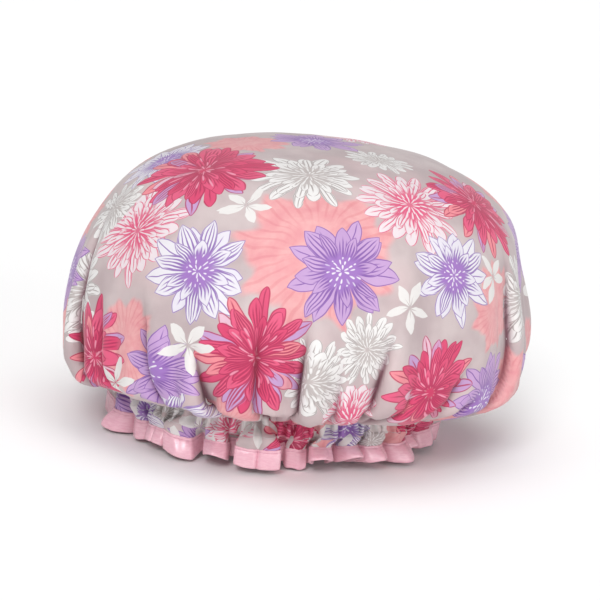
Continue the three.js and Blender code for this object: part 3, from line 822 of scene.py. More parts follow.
def sheet_levels():
    """For each row of the whole sheet: cloth distance from the crown, and flat radius per turn, at PHI."""
    M, Fr, starts, counts = [np.zeros(NP)], [np.zeros(NP)], [0], [1]
    rows = [(cloth.start[k], ROWS[k][1]) for k in range(len(ROWS))]
    base = cloth.count
    extra = (len(SHELL) - cloth.count) // NP
    rows += [(base + k * NP, NP) for k in range(extra)]
    prev = None
    run = 0.0
    for k, (a, n) in enumerate(rows):
        p = SHELL[a:a + n]
        per_turn = np.linalg.norm(np.roll(p, -1, 0) - p, axis=1).sum() / (2 * math.pi)
        if k < len(ROWS):
            e = cloth.P[a:a + n]
            r = np.hypot(e[:, 0], e[:, 1] - APEX_Y * 0); r = r / r.mean()
            arc = cloth.ARC[a:a + n]
        else:
            r = ring_r(PHI); r = r / r.mean()
            arc = None
        step = NP // n
        full = np.repeat(p, step, 0) if step > 1 else p
        if prev is None:
            d = np.linalg.norm(p - SHELL[0], axis=1).mean()
        else:
            pa, pn = prev
            q = SHELL[pa:pa + pn]
            d = np.linalg.norm(p[::n // pn] - q, axis=1).mean()
        run += d
        m = run * (arc / arc.mean() if arc is not None else 1.0)
        if arc is None:
            m = np.full(n, run) * last_shape + 0
        else:
            shape = np.interp(PHI, np.append(PHI[::step], 2 * math.pi), np.append(arc, arc[0])) / arc.mean()
            last_shape = 1 + (shape - 1)
            m = run * shape
            r = np.interp(PHI, np.append(PHI[::step], 2 * math.pi), np.append(r, r[0]))
        M.append(np.asarray(m) if len(np.atleast_1d(m)) == NP else np.full(NP, m)); Fr.append(per_turn * r)
        starts.append(a); counts.append(n)
        prev = (a, n)
    return np.array(M), np.array(Fr), starts, counts


LEV_M, LEV_F, LEV_START, LEV_N = sheet_levels()
V_M = np.zeros(len(SHELL)); V_F = np.zeros(len(SHELL)); V_A = np.zeros(len(SHELL)); V_S = np.zeros(len(SHELL))
for k in range(1, len(LEV_START)):
    a, n = LEV_START[k], LEV_N[k]
    step = NP // n
    V_M[a:a + n] = LEV_M[k][::step]; V_F[a:a + n] = LEV_F[k][::step]; V_A[a:a + n] = PHI[::step]
    V_S[a:a + n] = ROWS[k - 1][0] if k <= len(ROWS) else 2.0 + (k - len(ROWS)) / (len(LEV_START) - len(ROWS))
# cloth tucked out of sight in the sharp creases: the print jumps across them
for knots, depth, side in CREASES + more_creases():
    body_ = slice(0, cloth.count)
    c_ = np.interp(cloth.S, [k[0] for k in knots], np.radians([k[1] for k in knots]))
    d_ = turn(cloth.A - c_) * np.linalg.norm(cloth.P[:, :2], axis=1)
    k_ = smooth(knots[0][0] + 0.02, knots[0][0] + 0.30, cloth.S) * (1 - smooth(1.80, 1.97, cloth.S))
    V_A[body_] += 0.5 * np.sign(d_ - 0.4 * side) * np.exp(-np.abs(d_) / 20.0) * k_ * 1.15 * depth / np.maximum(V_F[body_], 20.0)
S_OF_ROW = np.array([0.0] + [r[0] for r in ROWS] + [2.0 + (k + 1) / (len(LEV_START) - len(ROWS)) for k in range(len(LEV_START) - 1 - len(ROWS))])


def flat_at(s, phi):
    """Cloth distance M, flat radius f and df/dM at a level and angle."""
    j = int(round((phi % (2 * math.pi)) / (2 * math.pi) * NP)) % NP
    M = np.interp(s, S_OF_ROW, LEV_M[:, j])
    Fc = np.interp(s, S_OF_ROW, LEV_F[:, j])
    e = 0.05
    M2, M1 = np.interp([s + e, max(s - e, 0.0)], S_OF_ROW, LEV_M[:, j])
    F2, F1 = np.interp([s + e, max(s - e, 0.0)], S_OF_ROW, LEV_F[:, j])
    return M, Fc, (F2 - F1) / max(M2 - M1, 1e-6)


def local_uv(vi, flower):
    """Coordinates of vertices vi about a flower's centre, mm along the cloth: u round, v up to the crown."""
    kind, pal, s, deg, rad = flower
    phi = math.radians(deg)
    M0, f0, g = flat_at(s, phi)
    d = turn(V_A[vi] - phi)
    g = max(g, -0.9)
    if abs(g) < 0.02:
        g = 0.02
    al = g * d
    f = V_F[vi]
    if s < 0.30:
        # near the crown the cloth is a flat disc
        R0 = M0
        return V_M[vi] * np.sin(d), -(V_M[vi] * np.cos(d) - R0)
    return f * np.sin(al) / g, -((V_M[vi] - M0) - (f / g) * (1 - np.cos(al)))


def surface_point(s, phi):
    j = int(round((phi % (2 * math.pi)) / (2 * math.pi) * NP)) % NP
    k = int(np.searchsorted(S_OF_ROW, s))
    k = min(max(k, 1), len(LEV_START) - 1)
    return SHELL[LEV_START[k] + j * LEV_N[k] // NP]


def LISTED_SIDE(s, phi):
    """The part of the cloth that the list above covers."""
    k = min(int(np.searchsorted(S_OF_ROW, s)), len(ROWS)) - 1
    k = max(k, 0)
    a, n = cloth.start[k], ROWS[k][1]
    nr = cloth.N[a + int((phi % (2 * math.pi)) / (2 * math.pi) * n) % n]
    e, z = math.radians(13.0), math.radians(43.7)
    return nr @ np.array([math.sin(z) * math.cos(e), -math.cos(z) * math.cos(e), math.sin(e)]) > 0.10


def scatter_more():
    """Fill the rest of the cloth, keeping flowers of a kind apart."""
    r = np.random.RandomState(2024)
    placed = [(f, surface_point(f[2], math.radians(f[3]))) for f in FLOWERS]
    order = ["A"] * 420 + ["B"] * 460 + ["C"] * 700 + ["E"] * 300 + ["D"] * 420
    for kind in order:
        s = math.sqrt(r.uniform(0, 1)) * 1.55 if r.uniform() < 0.70 else r.uniform(1.4, 2.95)
        phi = r.uniform(-math.pi, math.pi)
        lo_, hi_ = SIZES[kind]
        rad = r.uniform(lo_, hi_)
        pal = int(r.uniform() < 0.45)
        p = surface_point(s, phi)
        if s < 1.30 and LISTED_SIDE(s, phi):
            continue
        ok = True
        for f, q in placed:
            d = np.linalg.norm(p - q) * (2.1 if min(s, f[2]) > 1.6 else 1.0)
            same = f[0] == kind
            if kind == "E" or f[0] == "E":
                need = 0.98 * (rad + f[4]) if same else 0.0
            elif kind == "D" or f[0] == "D":
                need = 0.95 * (rad + f[4]) if same else 0.62 * (rad + f[4]) + 4
            else:
                need = (1.0 if same else 0.74) * (rad + f[4])
            if d < need:
                ok = False
                break
        if ok:
            f = (kind, pal, s, math.degrees(phi), rad)
            placed.append((f, p)); FLOWERS.append(f)


scatter_more()
print("flowers", {k: sum(f[0] == k for f in FLOWERS) for k in "ABCDE"})


def print_layers(me):
    """One UV layer for each kind, in units of the flower's radius, and its palette and seed on the faces."""
    nl, nf = len(me.loops), len(me.polygons)
    lv = np.empty(nl, int); me.loops.foreach_get("vertex_index", lv)
    ls = np.empty(nf, int); me.polygons.foreach_get("loop_start", ls)
    lt = np.empty(nf, int); me.polygons.foreach_get("loop_total", lt)
    face_of = np.repeat(np.arange(nf), lt)
    first = lv[ls]
    pts = SHELL[first]
    # flat coordinates: the cloth laid out as a disc in the unit square
    uv = me.uv_layers.new(name="OFBake")
    top = V_M.max() * 1.01
    flat = np.stack([0.5 + 0.5 * V_M / top * np.cos(V_A), 0.5 + 0.5 * V_M / top * np.sin(V_A)], 1)
    uv.data.foreach_set("uv", flat[lv].ravel())
    # painted shade in the hollows between the folds, for the shader
    at = me.attributes.new("painted_hollow_shade", "FLOAT", "POINT")
    at.data.foreach_set("value", np.concatenate([PAINTED_HOLLOW_SHADE, np.zeros(len(SHELL) - cloth.count)]).astype(np.float32))
    # painted shade along the bottoms of the sharp creases, for the shader
    at = me.attributes.new("painted_crease_shade", "FLOAT", "POINT")
    at.data.foreach_set("value", np.concatenate([PAINTED_CREASE_SHADE, np.zeros(len(SHELL) - cloth.count)]).astype(np.float32))
    for kind in "ABCDE":
        best = np.full(nf, 1.22); who = np.full(nf, -1)
        fl = [f for f in FLOWERS if f[0] == kind]
        for i, f in enumerate(fl):
            c = surface_point(f[2], math.radians(f[3]))
            near = np.nonzero(np.linalg.norm(pts - c, axis=1) < 1.6 * f[4] + 12)[0]
            if not len(near):
                continue
            u, v = local_uv(first[near], f)
            q = np.hypot(u, v) / f[4]
            better = q < best[near]
            best[near[better]] = q[better]; who[near[better]] = i
        uvs = np.full((nl, 2), 9.0)
        pal = np.zeros(nf); seed = np.zeros(nf)
        for i, f in enumerate(fl):
            faces = np.nonzero(who == i)[0]
            if not len(faces):
                continue
            m = who[face_of] == i
            u, v = local_uv(lv[m], f)
            uvs[m] = np.stack([u, v], 1) / f[4]
            pal[faces] = f[1]; seed[faces] = 1.0 + i * 0.618
        layer = me.uv_layers.new(name="flower_" + kind)
        layer.data.foreach_set("uv", uvs.ravel())
        for nm, val in (("palette_", pal), ("seed_", seed)):
            at = me.attributes.new(nm + kind, "FLOAT", "FACE")
            at.data.foreach_set("value", val.astype(np.float32))


# ---------------------------------------------------------------- shader writing
class Net:
    """Writes shader nodes from plain expressions."""

    def __init__(self, tree):
        self.t = tree

    def node(self, kind, **props):
        n = self.t.nodes.new(kind)
        for k, v in props.items():
            setattr(n, k, v)
        return n

    def put(self, sock, x):
        if isinstance(x, Sock):
            self.t.links.new(x.s, sock)
        elif isinstance(x, (int, float)):
            sock.default_value = float(x)
        else:
            sock.default_value = x

    def math(self, op, *a, clamp=False):
        n = self.node("ShaderNodeMath", operation=op, use_clamp=clamp)
        for i, x in enumerate(a):
            self.put(n.inputs[i], x)
        return Sock(self, n.outputs[0])

    def step(self, a, b, x):
        n = self.node("ShaderNodeMapRange", interpolation_type="SMOOTHSTEP")
        self.put(n.inputs[0], x); self.put(n.inputs[1], a); self.put(n.inputs[2], b)
        return Sock(self, n.outputs[0])

    def mix(self, f, a, b):
        n = self.node("ShaderNodeMix", data_type="RGBA")
        self.put(n.inputs[0], f); self.put(n.inputs[6], a); self.put(n.inputs[7], b)
        return Sock(self, n.outputs[2])

    def mixf(self, f, a, b):
        n = self.node("ShaderNodeMix", data_type="FLOAT")
        self.put(n.inputs[0], f); self.put(n.inputs[2], a); self.put(n.inputs[3], b)
        return Sock(self, n.outputs[0])

    def vec(self, x, y, z=0.0):
        n = self.node("ShaderNodeCombineXYZ")
        for i, v in enumerate((x, y, z)):
            self.put(n.inputs[i], v)
        return Sock(self, n.outputs[0])

    def split(self, v):
        n = self.node("ShaderNodeSeparateXYZ")
        self.put(n.inputs[0], v)
        return [Sock(self, o) for o in n.outputs]

    def noise(self, v, scale, detail=1.0, rough=0.5, color=False):
        n = self.node("ShaderNodeTexNoise")
        self.put(n.inputs["Vector"], v); self.put(n.inputs["Scale"], scale)
        self.put(n.inputs["Detail"], detail); self.put(n.inputs["Roughness"], rough)
        return Sock(self, n.outputs[1 if color else 0])

    def white(self, w):
        n = self.node("ShaderNodeTexWhiteNoise", noise_dimensions="1D")
        self.put(n.inputs["W"], w)
        c = self.node("ShaderNodeSeparateColor")
        self.t.links.new(n.outputs["Color"], c.inputs[0])
        return [Sock(self, o) for o in c.outputs]

    def attr(self, name, out="Fac"):
        n = self.node("ShaderNodeAttribute", attribute_name=name)
        return Sock(self, n.outputs[out])

    def uv(self, name):
        n = self.node("ShaderNodeUVMap", uv_map=name)
        return Sock(self, n.outputs[0])


class Sock:
    def __init__(self, net, s):
        self.n, self.s = net, s

    def __add__(self, o): return self.n.math("ADD", self, o)
    def __radd__(self, o): return self.n.math("ADD", o, self)
    def __sub__(self, o): return self.n.math("SUBTRACT", self, o)
    def __rsub__(self, o): return self.n.math("SUBTRACT", o, self)
    def __mul__(self, o): return self.n.math("MULTIPLY", self, o)
    def __rmul__(self, o): return self.n.math("MULTIPLY", o, self)
    def __truediv__(self, o): return self.n.math("DIVIDE", self, o)
    def __rtruediv__(self, o): return self.n.math("DIVIDE", o, self)
    def __pow__(self, o): return self.n.math("POWER", self, o)
    def abs(self): return self.n.math("ABSOLUTE", self)
    def sin(self): return self.n.math("SINE", self)
    def cos(self): return self.n.math("COSINE", self)
    def max(self, o): return self.n.math("MAXIMUM", self, o)
    def min(self, o): return self.n.math("MINIMUM", self, o)
    def clamp(self): return self.n.math("ADD", self, 0.0, clamp=True)


def srgb(r, g, b):
    f = lambda c: c / 12.92 if c <= 0.04045 else ((c + 0.055) / 1.055) ** 2.4
    return (f(r / 255), f(g / 255), f(b / 255), 1.0)


RING_IN = ["U", "V", "Petals", "Turn", "Inner", "Outer", "Width", "Base", "Tip", "Round", "Veins", "Line", "Swell", "Seed"]


def petal_ring_group():
    """One ring of petals round the origin: mask, outline and vein lines, place along the petal, random number."""
    g = bpy.data.node_groups.new("petal_ring", "ShaderNodeTree")
    for nm in RING_IN:
        g.interface.new_socket(nm, in_out="INPUT", socket_type="NodeSocketFloat")
    for nm in ("Mask", "Ink", "Along", "Pick"):
        g.interface.new_socket(nm, in_out="OUTPUT", socket_type="NodeSocketFloat")
    n = Net(g)
    gi, go = g.nodes.new("NodeGroupInput"), g.nodes.new("NodeGroupOutput")
    I = {nm: Sock(n, gi.outputs[i]) for i, nm in enumerate(RING_IN)}
    u, v = I["U"], I["V"]
    rho = n.math("SQRT", u * u + v * v)
    psi = n.math("ARCTAN2", v, u) + I["Turn"]
    x = psi * I["Petals"] / (2 * math.pi)
    k = n.math("FLOOR", x + 0.5)
    kk = n.math("FLOORED_MODULO", k, I["Petals"])
    r1, r2, r3 = n.white(kk * 1.37 + I["Seed"] * 7.31)
    sector = (2 * math.pi) / I["Petals"]
    d = (x - k) * sector + (r3 - 0.5) * 0.34 * sector + (r2 - 0.5) * 0.30 * rho * sector
    lx, ly = rho * d.cos(), (rho * d.sin()).abs()
    outer = I["Outer"] * (1.02 - 0.24 * r1)
    t = ((lx - I["Inner"]) / (outer - I["Inner"])).clamp()
    hw = I["Width"] * (0.84 + 0.30 * r2) * (t ** I["Base"]) * ((1.0 - t ** I["Tip"]) ** I["Round"])
    m = n.step(-0.006, 0.010, hw - ly)
    inside = n.step(-0.002, 0.002, lx - I["Inner"])
    m = m * inside * n.step(0.0, 0.012, outer - lx)
    edge = 1.0 - n.step(0.006, 0.020, hw - ly - I["Line"] * 0.35)
    sp = 2.0 * hw / I["Veins"]
    q = ly / sp.max(0.0005) + 0.5
    fr = (n.math("FRACT", q) - 0.5).abs()
    th = I["Line"] * (0.46 + I["Swell"] * ((1.0 - t) ** 3.0))
    stop = 1.0 - n.step(0.72, 0.92, t + (r1 - 0.5) * 0.30 + (n.math("FRACT", n.math("FLOOR", q) * 0.37)) * 0.26)
    vein = (1.0 - n.step(0.5, 1.35, fr * sp / th)) * stop
    ink = edge.max(vein) * m
    outs = (m, ink, t, r1)
    for i, o in enumerate(outs):
        g.links.new(o.s, go.inputs[i])
    return g


def ring(n, group, u, v, petals, turn_, inner, outer, width, base, tip, round_, veins, line, swell, seed):
    nd = n.node("ShaderNodeGroup"); nd.node_tree = group
    for i, x in enumerate((u, v, petals, turn_, inner, outer, width, base, tip, round_, veins, line, swell, seed)):
        n.put(nd.inputs[i], x)
    return [Sock(n, o) for o in nd.outputs]


def flower_uv(n, kind, amount):
    """Flower coordinates, slightly uneven as drawn ones are."""
    u, v, _ = n.split(n.uv("flower_" + kind))
    seed = n.attr("seed_" + kind)
    c = n.noise(n.vec(u, v, seed * 3.7), 2.3, 1.0, 0.5, color=True)
    s = n.node("ShaderNodeSeparateColor"); n.t.links.new(c.s, s.inputs[0])
    cx, cy = Sock(n, s.outputs[0]), Sock(n, s.outputs[1])
    turn_ = seed * 2.399
    return u + (cx - 0.5) * amount, v + (cy - 0.5) * amount, seed, turn_


def print_color(n):
    """Base cloth colour with the five kinds of flower laid over it, then painted shade in the hollows of the folds and
    along the sharp creases.
    """
    G = petal_ring_group()
    tc = n.node("ShaderNodeTexCoord")
    obj = Sock(n, tc.outputs["Object"])
    # milky ground, a little uneven where the film shows through
    cloud = n.noise(obj, 26.0, 3.0, 0.55)
    ground = n.mix(n.step(0.35, 0.68, cloud), srgb(196, 178, 180), srgb(216, 201, 201))
    blush = n.noise(obj, 14.0, 2.0, 0.5)
    col = n.mix(n.step(0.52, 0.75, blush) * 0.55, ground, srgb(226, 196, 198))

    # E: soft coral shadow flower, seen through from the film side
    u, v, seed, tn = flower_uv(n, "E", 0.20)
    rho = n.math("SQRT", u * u + v * v); psi = n.math("ARCTAN2", v, u)
    edge = rho * (1.0 + 0.10 * (psi * 9.0 + tn).sin() + 0.05 * (psi * 17.0 + tn * 2.0).sin())
    body = 1.0 - n.step(0.80, 0.94, edge)
    streak = (psi * 34.0 + 7.0 * rho + tn).sin() * 0.5 + 0.5
    soft = n.noise(n.vec(u, v, seed), 5.0, 3.0, 0.6)
    e_col = n.mix(n.step(0.25, 0.75, soft), srgb(244, 150, 158), srgb(250, 184, 184))
    e_col = n.mix(n.step(0.70, 0.95, streak) * n.step(0.25, 0.6, rho) * 0.35, e_col, srgb(228, 104, 116))
    col = n.mix(body * (0.72 + 0.20 * soft), col, e_col)

    # C: line-drawn aster, white petals with pink or grey lines
    u, v, seed, tn = flower_uv(n, "C", 0.12)
    pal = n.attr("palette_C")
    line = n.mix(pal, srgb(226, 84, 128), srgb(178, 168, 167))
    heart = n.mix(pal, srgb(236, 106, 146), srgb(190, 180, 178))
    white = n.mix(pal, srgb(245, 232, 237), srgb(244, 242, 241))
    rho = n.math("SQRT", u * u + v * v)
    for petals, turn_, inner, outer, width, veins, swell, sd in ((16.0, 0.0, 0.10, 1.08, 0.190, 3.0, 0.5, 0.0), (15.0, 0.7, 0.08, 0.84, 0.155, 3.0, 0.6, 1.7),
                                                                (13.0, 1.9, 0.07, 0.62, 0.105, 2.0, 0.9, 3.1), (12.0, 0.4, 0.06, 0.44, 0.065, 1.0, 1.1, 5.3)):
        m, ink, t, pick = ring(n, G, u, v, petals, tn + turn_, inner, outer, width, 0.62, 4.0, 0.55, veins, 0.023, swell, seed + sd)
        base = n.mix(n.step(0.42, 0.05, t) * 0.45, white, heart)
        col = n.mix(m, col, n.mix(ink, base, line))
    disc = n.mix(pal, srgb(230, 92, 134), srgb(200, 191, 189))
    col = n.mix((1.0 - n.step(0.26, 0.50, rho * (1.0 + 0.14 * (n.math("ARCTAN2", v, u) * 13.0 + tn).sin()))) * 0.85, col, disc)
    for petals, inner, outer, width, sd in ((11.0, 0.05, 0.22, 0.022, 8.0), (16.0, 0.17, 0.38, 0.025, 9.0), (20.0, 0.32, 0.58, 0.027, 10.0)):
        m, ink, t, pick = ring(n, G, u, v, petals, tn + sd, inner, outer, width, 0.5, 3.0, 0.5, 1.0, 0.001, 0.0, seed + sd)
        col = n.mix(m, col, white)

    # B: veined star flower, white or lilac petals with purple lines
    u, v, seed, tn = flower_uv(n, "B", 0.12)
    pal = n.attr("palette_B")
    petal = n.mix(pal, srgb(241, 238, 244), srgb(209, 172, 219))
    petal2 = n.mix(pal, srgb(233, 227, 242), srgb(193, 154, 210))
    line = n.mix(pal, srgb(148, 112, 184), srgb(140, 96, 176))
    rho = n.math("SQRT", u * u + v * v)
    for petals, turn_, inner, outer, width, veins, swell, sd in ((9.0, 0.35, 0.12, 1.12, 0.360, 1.0, 0.6, 0.0), (8.0, 0.0, 0.10, 1.04, 0.400, 5.0, 1.9, 2.9),
                                                                (7.0, 1.2, 0.10, 0.80, 0.270, 4.0, 2.4, 6.1)):
        m, ink, t, pick = ring(n, G, u, v, petals, tn + turn_, inner, outer, width, 0.80, 2.3, 1.0, veins, 0.022, swell, seed + sd)
        base = n.mix(n.step(0.2, 0.9, pick) * 0.5, petal, petal2)
        col = n.mix(m, col, n.mix(ink, base, line))
    core = srgb(168, 124, 200)
    col = n.mix(1.0 - n.step(0.24, 0.42, rho * (1.0 + 0.12 * (n.math("ARCTAN2", v, u) * 11.0 + tn).sin())), col, core)
    for petals, inner, outer, width, sd in ((7.0, 0.03, 0.15, 0.026, 1.0), (11.0, 0.13, 0.26, 0.026, 2.0), (14.0, 0.24, 0.35, 0.022, 3.0)):
        m, ink, t, pick = ring(n, G, u, v, petals, tn, inner, outer, width, 0.5, 3.0, 0.5, 1.0, 0.001, 0.0, seed + sd)
        col = n.mix(m * n.step(0.15, 0.2, pick), col, srgb(246, 240, 250))

    # A: layered dahlia, hot pink with lilac, coral and pale petals
    u, v, seed, tn = flower_uv(n, "A", 0.13)
    hot, hot2, dark = srgb(226, 72, 118), srgb(238, 98, 138), srgb(186, 44, 90)
    for petals, turn_, inner, outer, width, veins, swell, sd, odd in ((15.0, 0.2, 0.15, 1.07, 0.170, 2.0, 0.3, 0.0, 0.62), (14.0, 0.0, 0.12, 0.98, 0.180, 5.0, 0.2, 2.0, 0.20),
                                                                     (12.0, 0.9, 0.10, 0.78, 0.150, 5.0, 0.2, 4.0, 0.16), (11.0, 0.5, 0.06, 0.54, 0.100, 3.0, 0.3, 6.0, 0.06)):
        m, ink, t, pick = ring(n, G, u, v, petals, tn + turn_, inner, outer, width, 0.55, 3.6, 0.70, veins, 0.026, swell, seed + sd)
        r1, r2, r3 = n.white(pick * 91.7 + 3.0)
        base = n.mix(n.step(0.2, 0.8, r2), hot, hot2)
        lilac = n.mix(n.step(0.45, 0.5, r3), srgb(206, 166, 214), srgb(247, 150, 160))
        lilac = n.mix(n.step(0.80, 0.82, r3), lilac, srgb(238, 196, 214))
        base = n.mix(n.step(1.0 - odd, 1.0 - odd + 0.01, r1) if odd else 0.0, base, lilac)
        base = n.mix(n.step(0.45, 0.0, t) * 0.30, base, srgb(212, 52, 100))
        col = n.mix(m, col, n.mix(ink * 0.9, base, dark))
    rho = n.math("SQRT", u * u + v * v)
    col = n.mix((1.0 - n.step(0.06, 0.13, rho)), col, srgb(214, 56, 104))
    for petals, inner, outer, width, sd in ((9.0, 0.03, 0.20, 0.020, 8.0), (12.0, 0.15, 0.38, 0.022, 9.0), (15.0, 0.33, 0.60, 0.024, 11.0)):
        m, ink, t, pick = ring(n, G, u, v, petals, tn + sd, inner, outer, width, 0.5, 3.0, 0.5, 1.0, 0.001, 0.0, seed + sd)
        col = n.mix(m * n.step(0.35, 0.4, pick), col, srgb(244, 158, 184))

    # D: small five-petal flower, plain white with faint creases
    u, v, seed, tn = flower_uv(n, "D", 0.16)
    m, ink, t, pick = ring(n, G, u, v, 5.0, tn, 0.02, 1.22, 0.470, 0.80, 2.0, 0.95, 1.0, 0.030, 0.2, seed)
    col = n.mix(m, col, n.mix(ink * n.step(0.45, 0.1, t), srgb(241, 238, 236), srgb(196, 184, 184)))
    # painted shade: the colour is darkened in the hollows between the folds and, narrowly, along the bottoms of the
    # sharp creases
    painted_shade_mix = n.node("ShaderNodeMix", data_type="RGBA", blend_type="MULTIPLY")
    n.put(painted_shade_mix.inputs[0], n.attr("painted_hollow_shade") * 0.92); n.put(painted_shade_mix.inputs[6], col); n.put(painted_shade_mix.inputs[7], srgb(178, 132, 148))
    # painted shade: a narrow darker line along the bottoms of the sharp creases
    line = n.node("ShaderNodeMix", data_type="RGBA", blend_type="MULTIPLY")
    n.put(line.inputs[0], n.attr("painted_crease_shade") * 0.85); n.put(line.inputs[6], Sock(n, painted_shade_mix.outputs[2])); n.put(line.inputs[7], srgb(150, 94, 116))
    return Sock(n, line.outputs[2])


def cloth_bump(n, obj_scale, weave, strength):
    """Fine weave and small creases."""
    tc = n.node("ShaderNodeTexCoord")
    obj = Sock(n, tc.outputs["Object"])
    crumple = n.noise(obj, 60.0, 4.0, 0.55)
    fine = n.noise(obj, 420.0, 2.0, 0.5)
    w = n.node("ShaderNodeTexWave", wave_type="BANDS", bands_direction="Z")
    n.put(w.inputs["Vector"], obj); n.put(w.inputs["Scale"], weave); n.put(w.inputs["Distortion"], 0.6)
    h = crumple * 0.0016 + fine * 0.00012 + Sock(n, w.outputs["Fac"]) * 0.00004
    b = n.node("ShaderNodeBump")
    b.inputs["Strength"].default_value = strength
    b.inputs["Distance"].default_value = 1.0
    n.put(b.inputs["Height"], h)
    return Sock(n, b.outputs[0])


def printed_cloth():
    m = bpy.data.materials.new("printed_polyester")
    m.use_nodes = True
    t = m.node_tree
    t.nodes.clear()
    n = Net(t)
    col = print_color(n)
    nrm = cloth_bump(n, 1.0, 900.0, 0.55)
    p = t.nodes.new("ShaderNodeBsdfPrincipled")
    n.put(p.inputs["Base Color"], col); n.put(p.inputs["Normal"], nrm)
    p.inputs["Roughness"].default_value = 0.48
    p.inputs["Specular IOR Level"].default_value = 0.42
    p.inputs["Sheen Weight"].default_value = 0.28
    p.inputs["Sheen Roughness"].default_value = 0.45
    tr = t.nodes.new("ShaderNodeBsdfTranslucent")
    n.put(tr.inputs["Color"], col); n.put(tr.inputs["Normal"], nrm)
    mx = t.nodes.new("ShaderNodeMixShader")
    mx.inputs[0].default_value = 0.20
    out = t.nodes.new("ShaderNodeOutputMaterial")
    t.links.new(p.outputs[0], mx.inputs[1]); t.links.new(tr.outputs[0], mx.inputs[2]); t.links.new(mx.outputs[0], out.inputs[0])
    return m


# ---------------------------------------------------------------- meshes
def new_mesh(name, verts, faces, material):
    me = bpy.data.meshes.new(name)
    me.from_pydata([tuple(v) for v in ((np.asarray(verts) + SHIFT) * MM)], [], [tuple(f) for f in faces])
    me.materials.append(material)
    me.polygons.foreach_set("use_smooth", np.ones(len(me.polygons), bool))
    me.update()
    ob = bpy.data.objects.new(name, me)
    bpy.context.scene.collection.objects.link(ob)
    return ob


def start_material(name):
    m = bpy.data.materials.new(name)
    m.use_nodes = True
    t = m.node_tree
    t.nodes.clear()
    n = Net(t)
    tc = n.node("ShaderNodeTexCoord")
    p = t.nodes.new("ShaderNodeBsdfPrincipled")
    out = t.nodes.new("ShaderNodeOutputMaterial")
    return m, t, n, Sock(n, tc.outputs["Object"]), p, out


def bump_of(n, height, strength, base=None):
    b = n.node("ShaderNodeBump")
    b.inputs["Strength"].default_value = strength
    b.inputs["Distance"].default_value = 1.0
    n.put(b.inputs["Height"], height)
    return Sock(n, b.outputs[0])


def satin():
    """Glossy woven satin: long floats across the band, fine cross ribs and soft puckers."""
    m, t, n, obj, p, out = start_material("pink_satin_weave")
    st = n.node("ShaderNodeMapping")
    n.put(st.inputs["Vector"], obj); st.inputs["Scale"].default_value = (1.0, 1.0, 5.0)
    mapped = Sock(n, st.outputs[0])
    streak = n.noise(mapped, 240.0, 3.0, 0.6)
    cloud = n.noise(obj, 45.0, 2.0, 0.5)
    col = n.mix(n.step(0.3, 0.7, streak), srgb(242, 182, 199), srgb(250, 199, 212))
    col = n.mix(n.step(0.45, 0.75, cloud) * 0.5, col, srgb(252, 210, 220))
    n.put(p.inputs["Base Color"], col)
    w = n.node("ShaderNodeTexWave", wave_type="BANDS", bands_direction="Z")
    n.put(w.inputs["Vector"], obj); n.put(w.inputs["Scale"], 520.0); n.put(w.inputs["Distortion"], 1.0)
    soft = n.noise(obj, 130.0, 3.0, 0.55)
    h = Sock(n, w.outputs["Fac"]) * 0.00003 + streak * 0.00006 + soft * 0.00075
    nrm = bump_of(n, h, 0.6)
    n.put(p.inputs["Normal"], nrm)
    p.inputs["Roughness"].default_value = 0.27
    p.inputs["Anisotropic"].default_value = 0.55
    p.inputs["Specular IOR Level"].default_value = 0.95
    p.inputs["Sheen Weight"].default_value = 0.25
    p.inputs["Sheen Roughness"].default_value = 0.35
    p.inputs["Sheen Tint"].default_value = srgb(255, 215, 225)
    tr = t.nodes.new("ShaderNodeBsdfTranslucent")
    n.put(tr.inputs["Color"], col)
    mx = t.nodes.new("ShaderNodeMixShader"); mx.inputs[0].default_value = 0.10
    t.links.new(p.outputs[0], mx.inputs[1]); t.links.new(tr.outputs[0], mx.inputs[2]); t.links.new(mx.outputs[0], out.inputs[0])
    return m


def film():
    """Thin milky waterproof film: smooth, faintly cloudy, with small creases that catch the light."""
    m, t, n, obj, p, out = start_material("milky_film")
    cloud = n.noise(obj, 30.0, 4.0, 0.6)
    col = n.mix(n.step(0.3, 0.7, cloud), srgb(222, 218, 217), srgb(238, 235, 234))
    n.put(p.inputs["Base Color"], col)
    fine = n.noise(obj, 300.0, 2.0, 0.5)
    crease = n.noise(obj, 70.0, 5.0, 0.6)
    n.put(p.inputs["Normal"], bump_of(n, crease * 0.0016 + fine * 0.0001, 0.5))
    n.put(p.inputs["Roughness"], 0.30 + 0.16 * cloud)
    p.inputs["Specular IOR Level"].default_value = 0.5
    tr = t.nodes.new("ShaderNodeBsdfTranslucent")
    n.put(tr.inputs["Color"], col)
    mx = t.nodes.new("ShaderNodeMixShader"); mx.inputs[0].default_value = 0.30
    t.links.new(p.outputs[0], mx.inputs[1]); t.links.new(tr.outputs[0], mx.inputs[2]); t.links.new(mx.outputs[0], out.inputs[0])
    return m


def thread(name, dark, light):
    """Spun thread: a fine twist, slightly uneven in tone."""
    m, t, n, obj, p, out = start_material(name)
    twist = n.node("ShaderNodeTexWave", wave_type="BANDS", bands_direction="DIAGONAL")
    n.put(twist.inputs["Vector"], obj); n.put(twist.inputs["Scale"], 900.0); n.put(twist.inputs["Distortion"], 1.5)
    f = Sock(n, twist.outputs["Fac"])
    tone = n.noise(obj, 500.0, 1.0, 0.5)
    n.put(p.inputs["Base Color"], n.mix(f * 0.5 + tone * 0.4, dark, light))
    n.put(p.inputs["Normal"], bump_of(n, f * 0.00006, 0.8))
    p.inputs["Roughness"].default_value = 0.55
    p.inputs["Sheen Weight"].default_value = 0.2
    t.links.new(p.outputs[0], out.inputs[0])
    return m


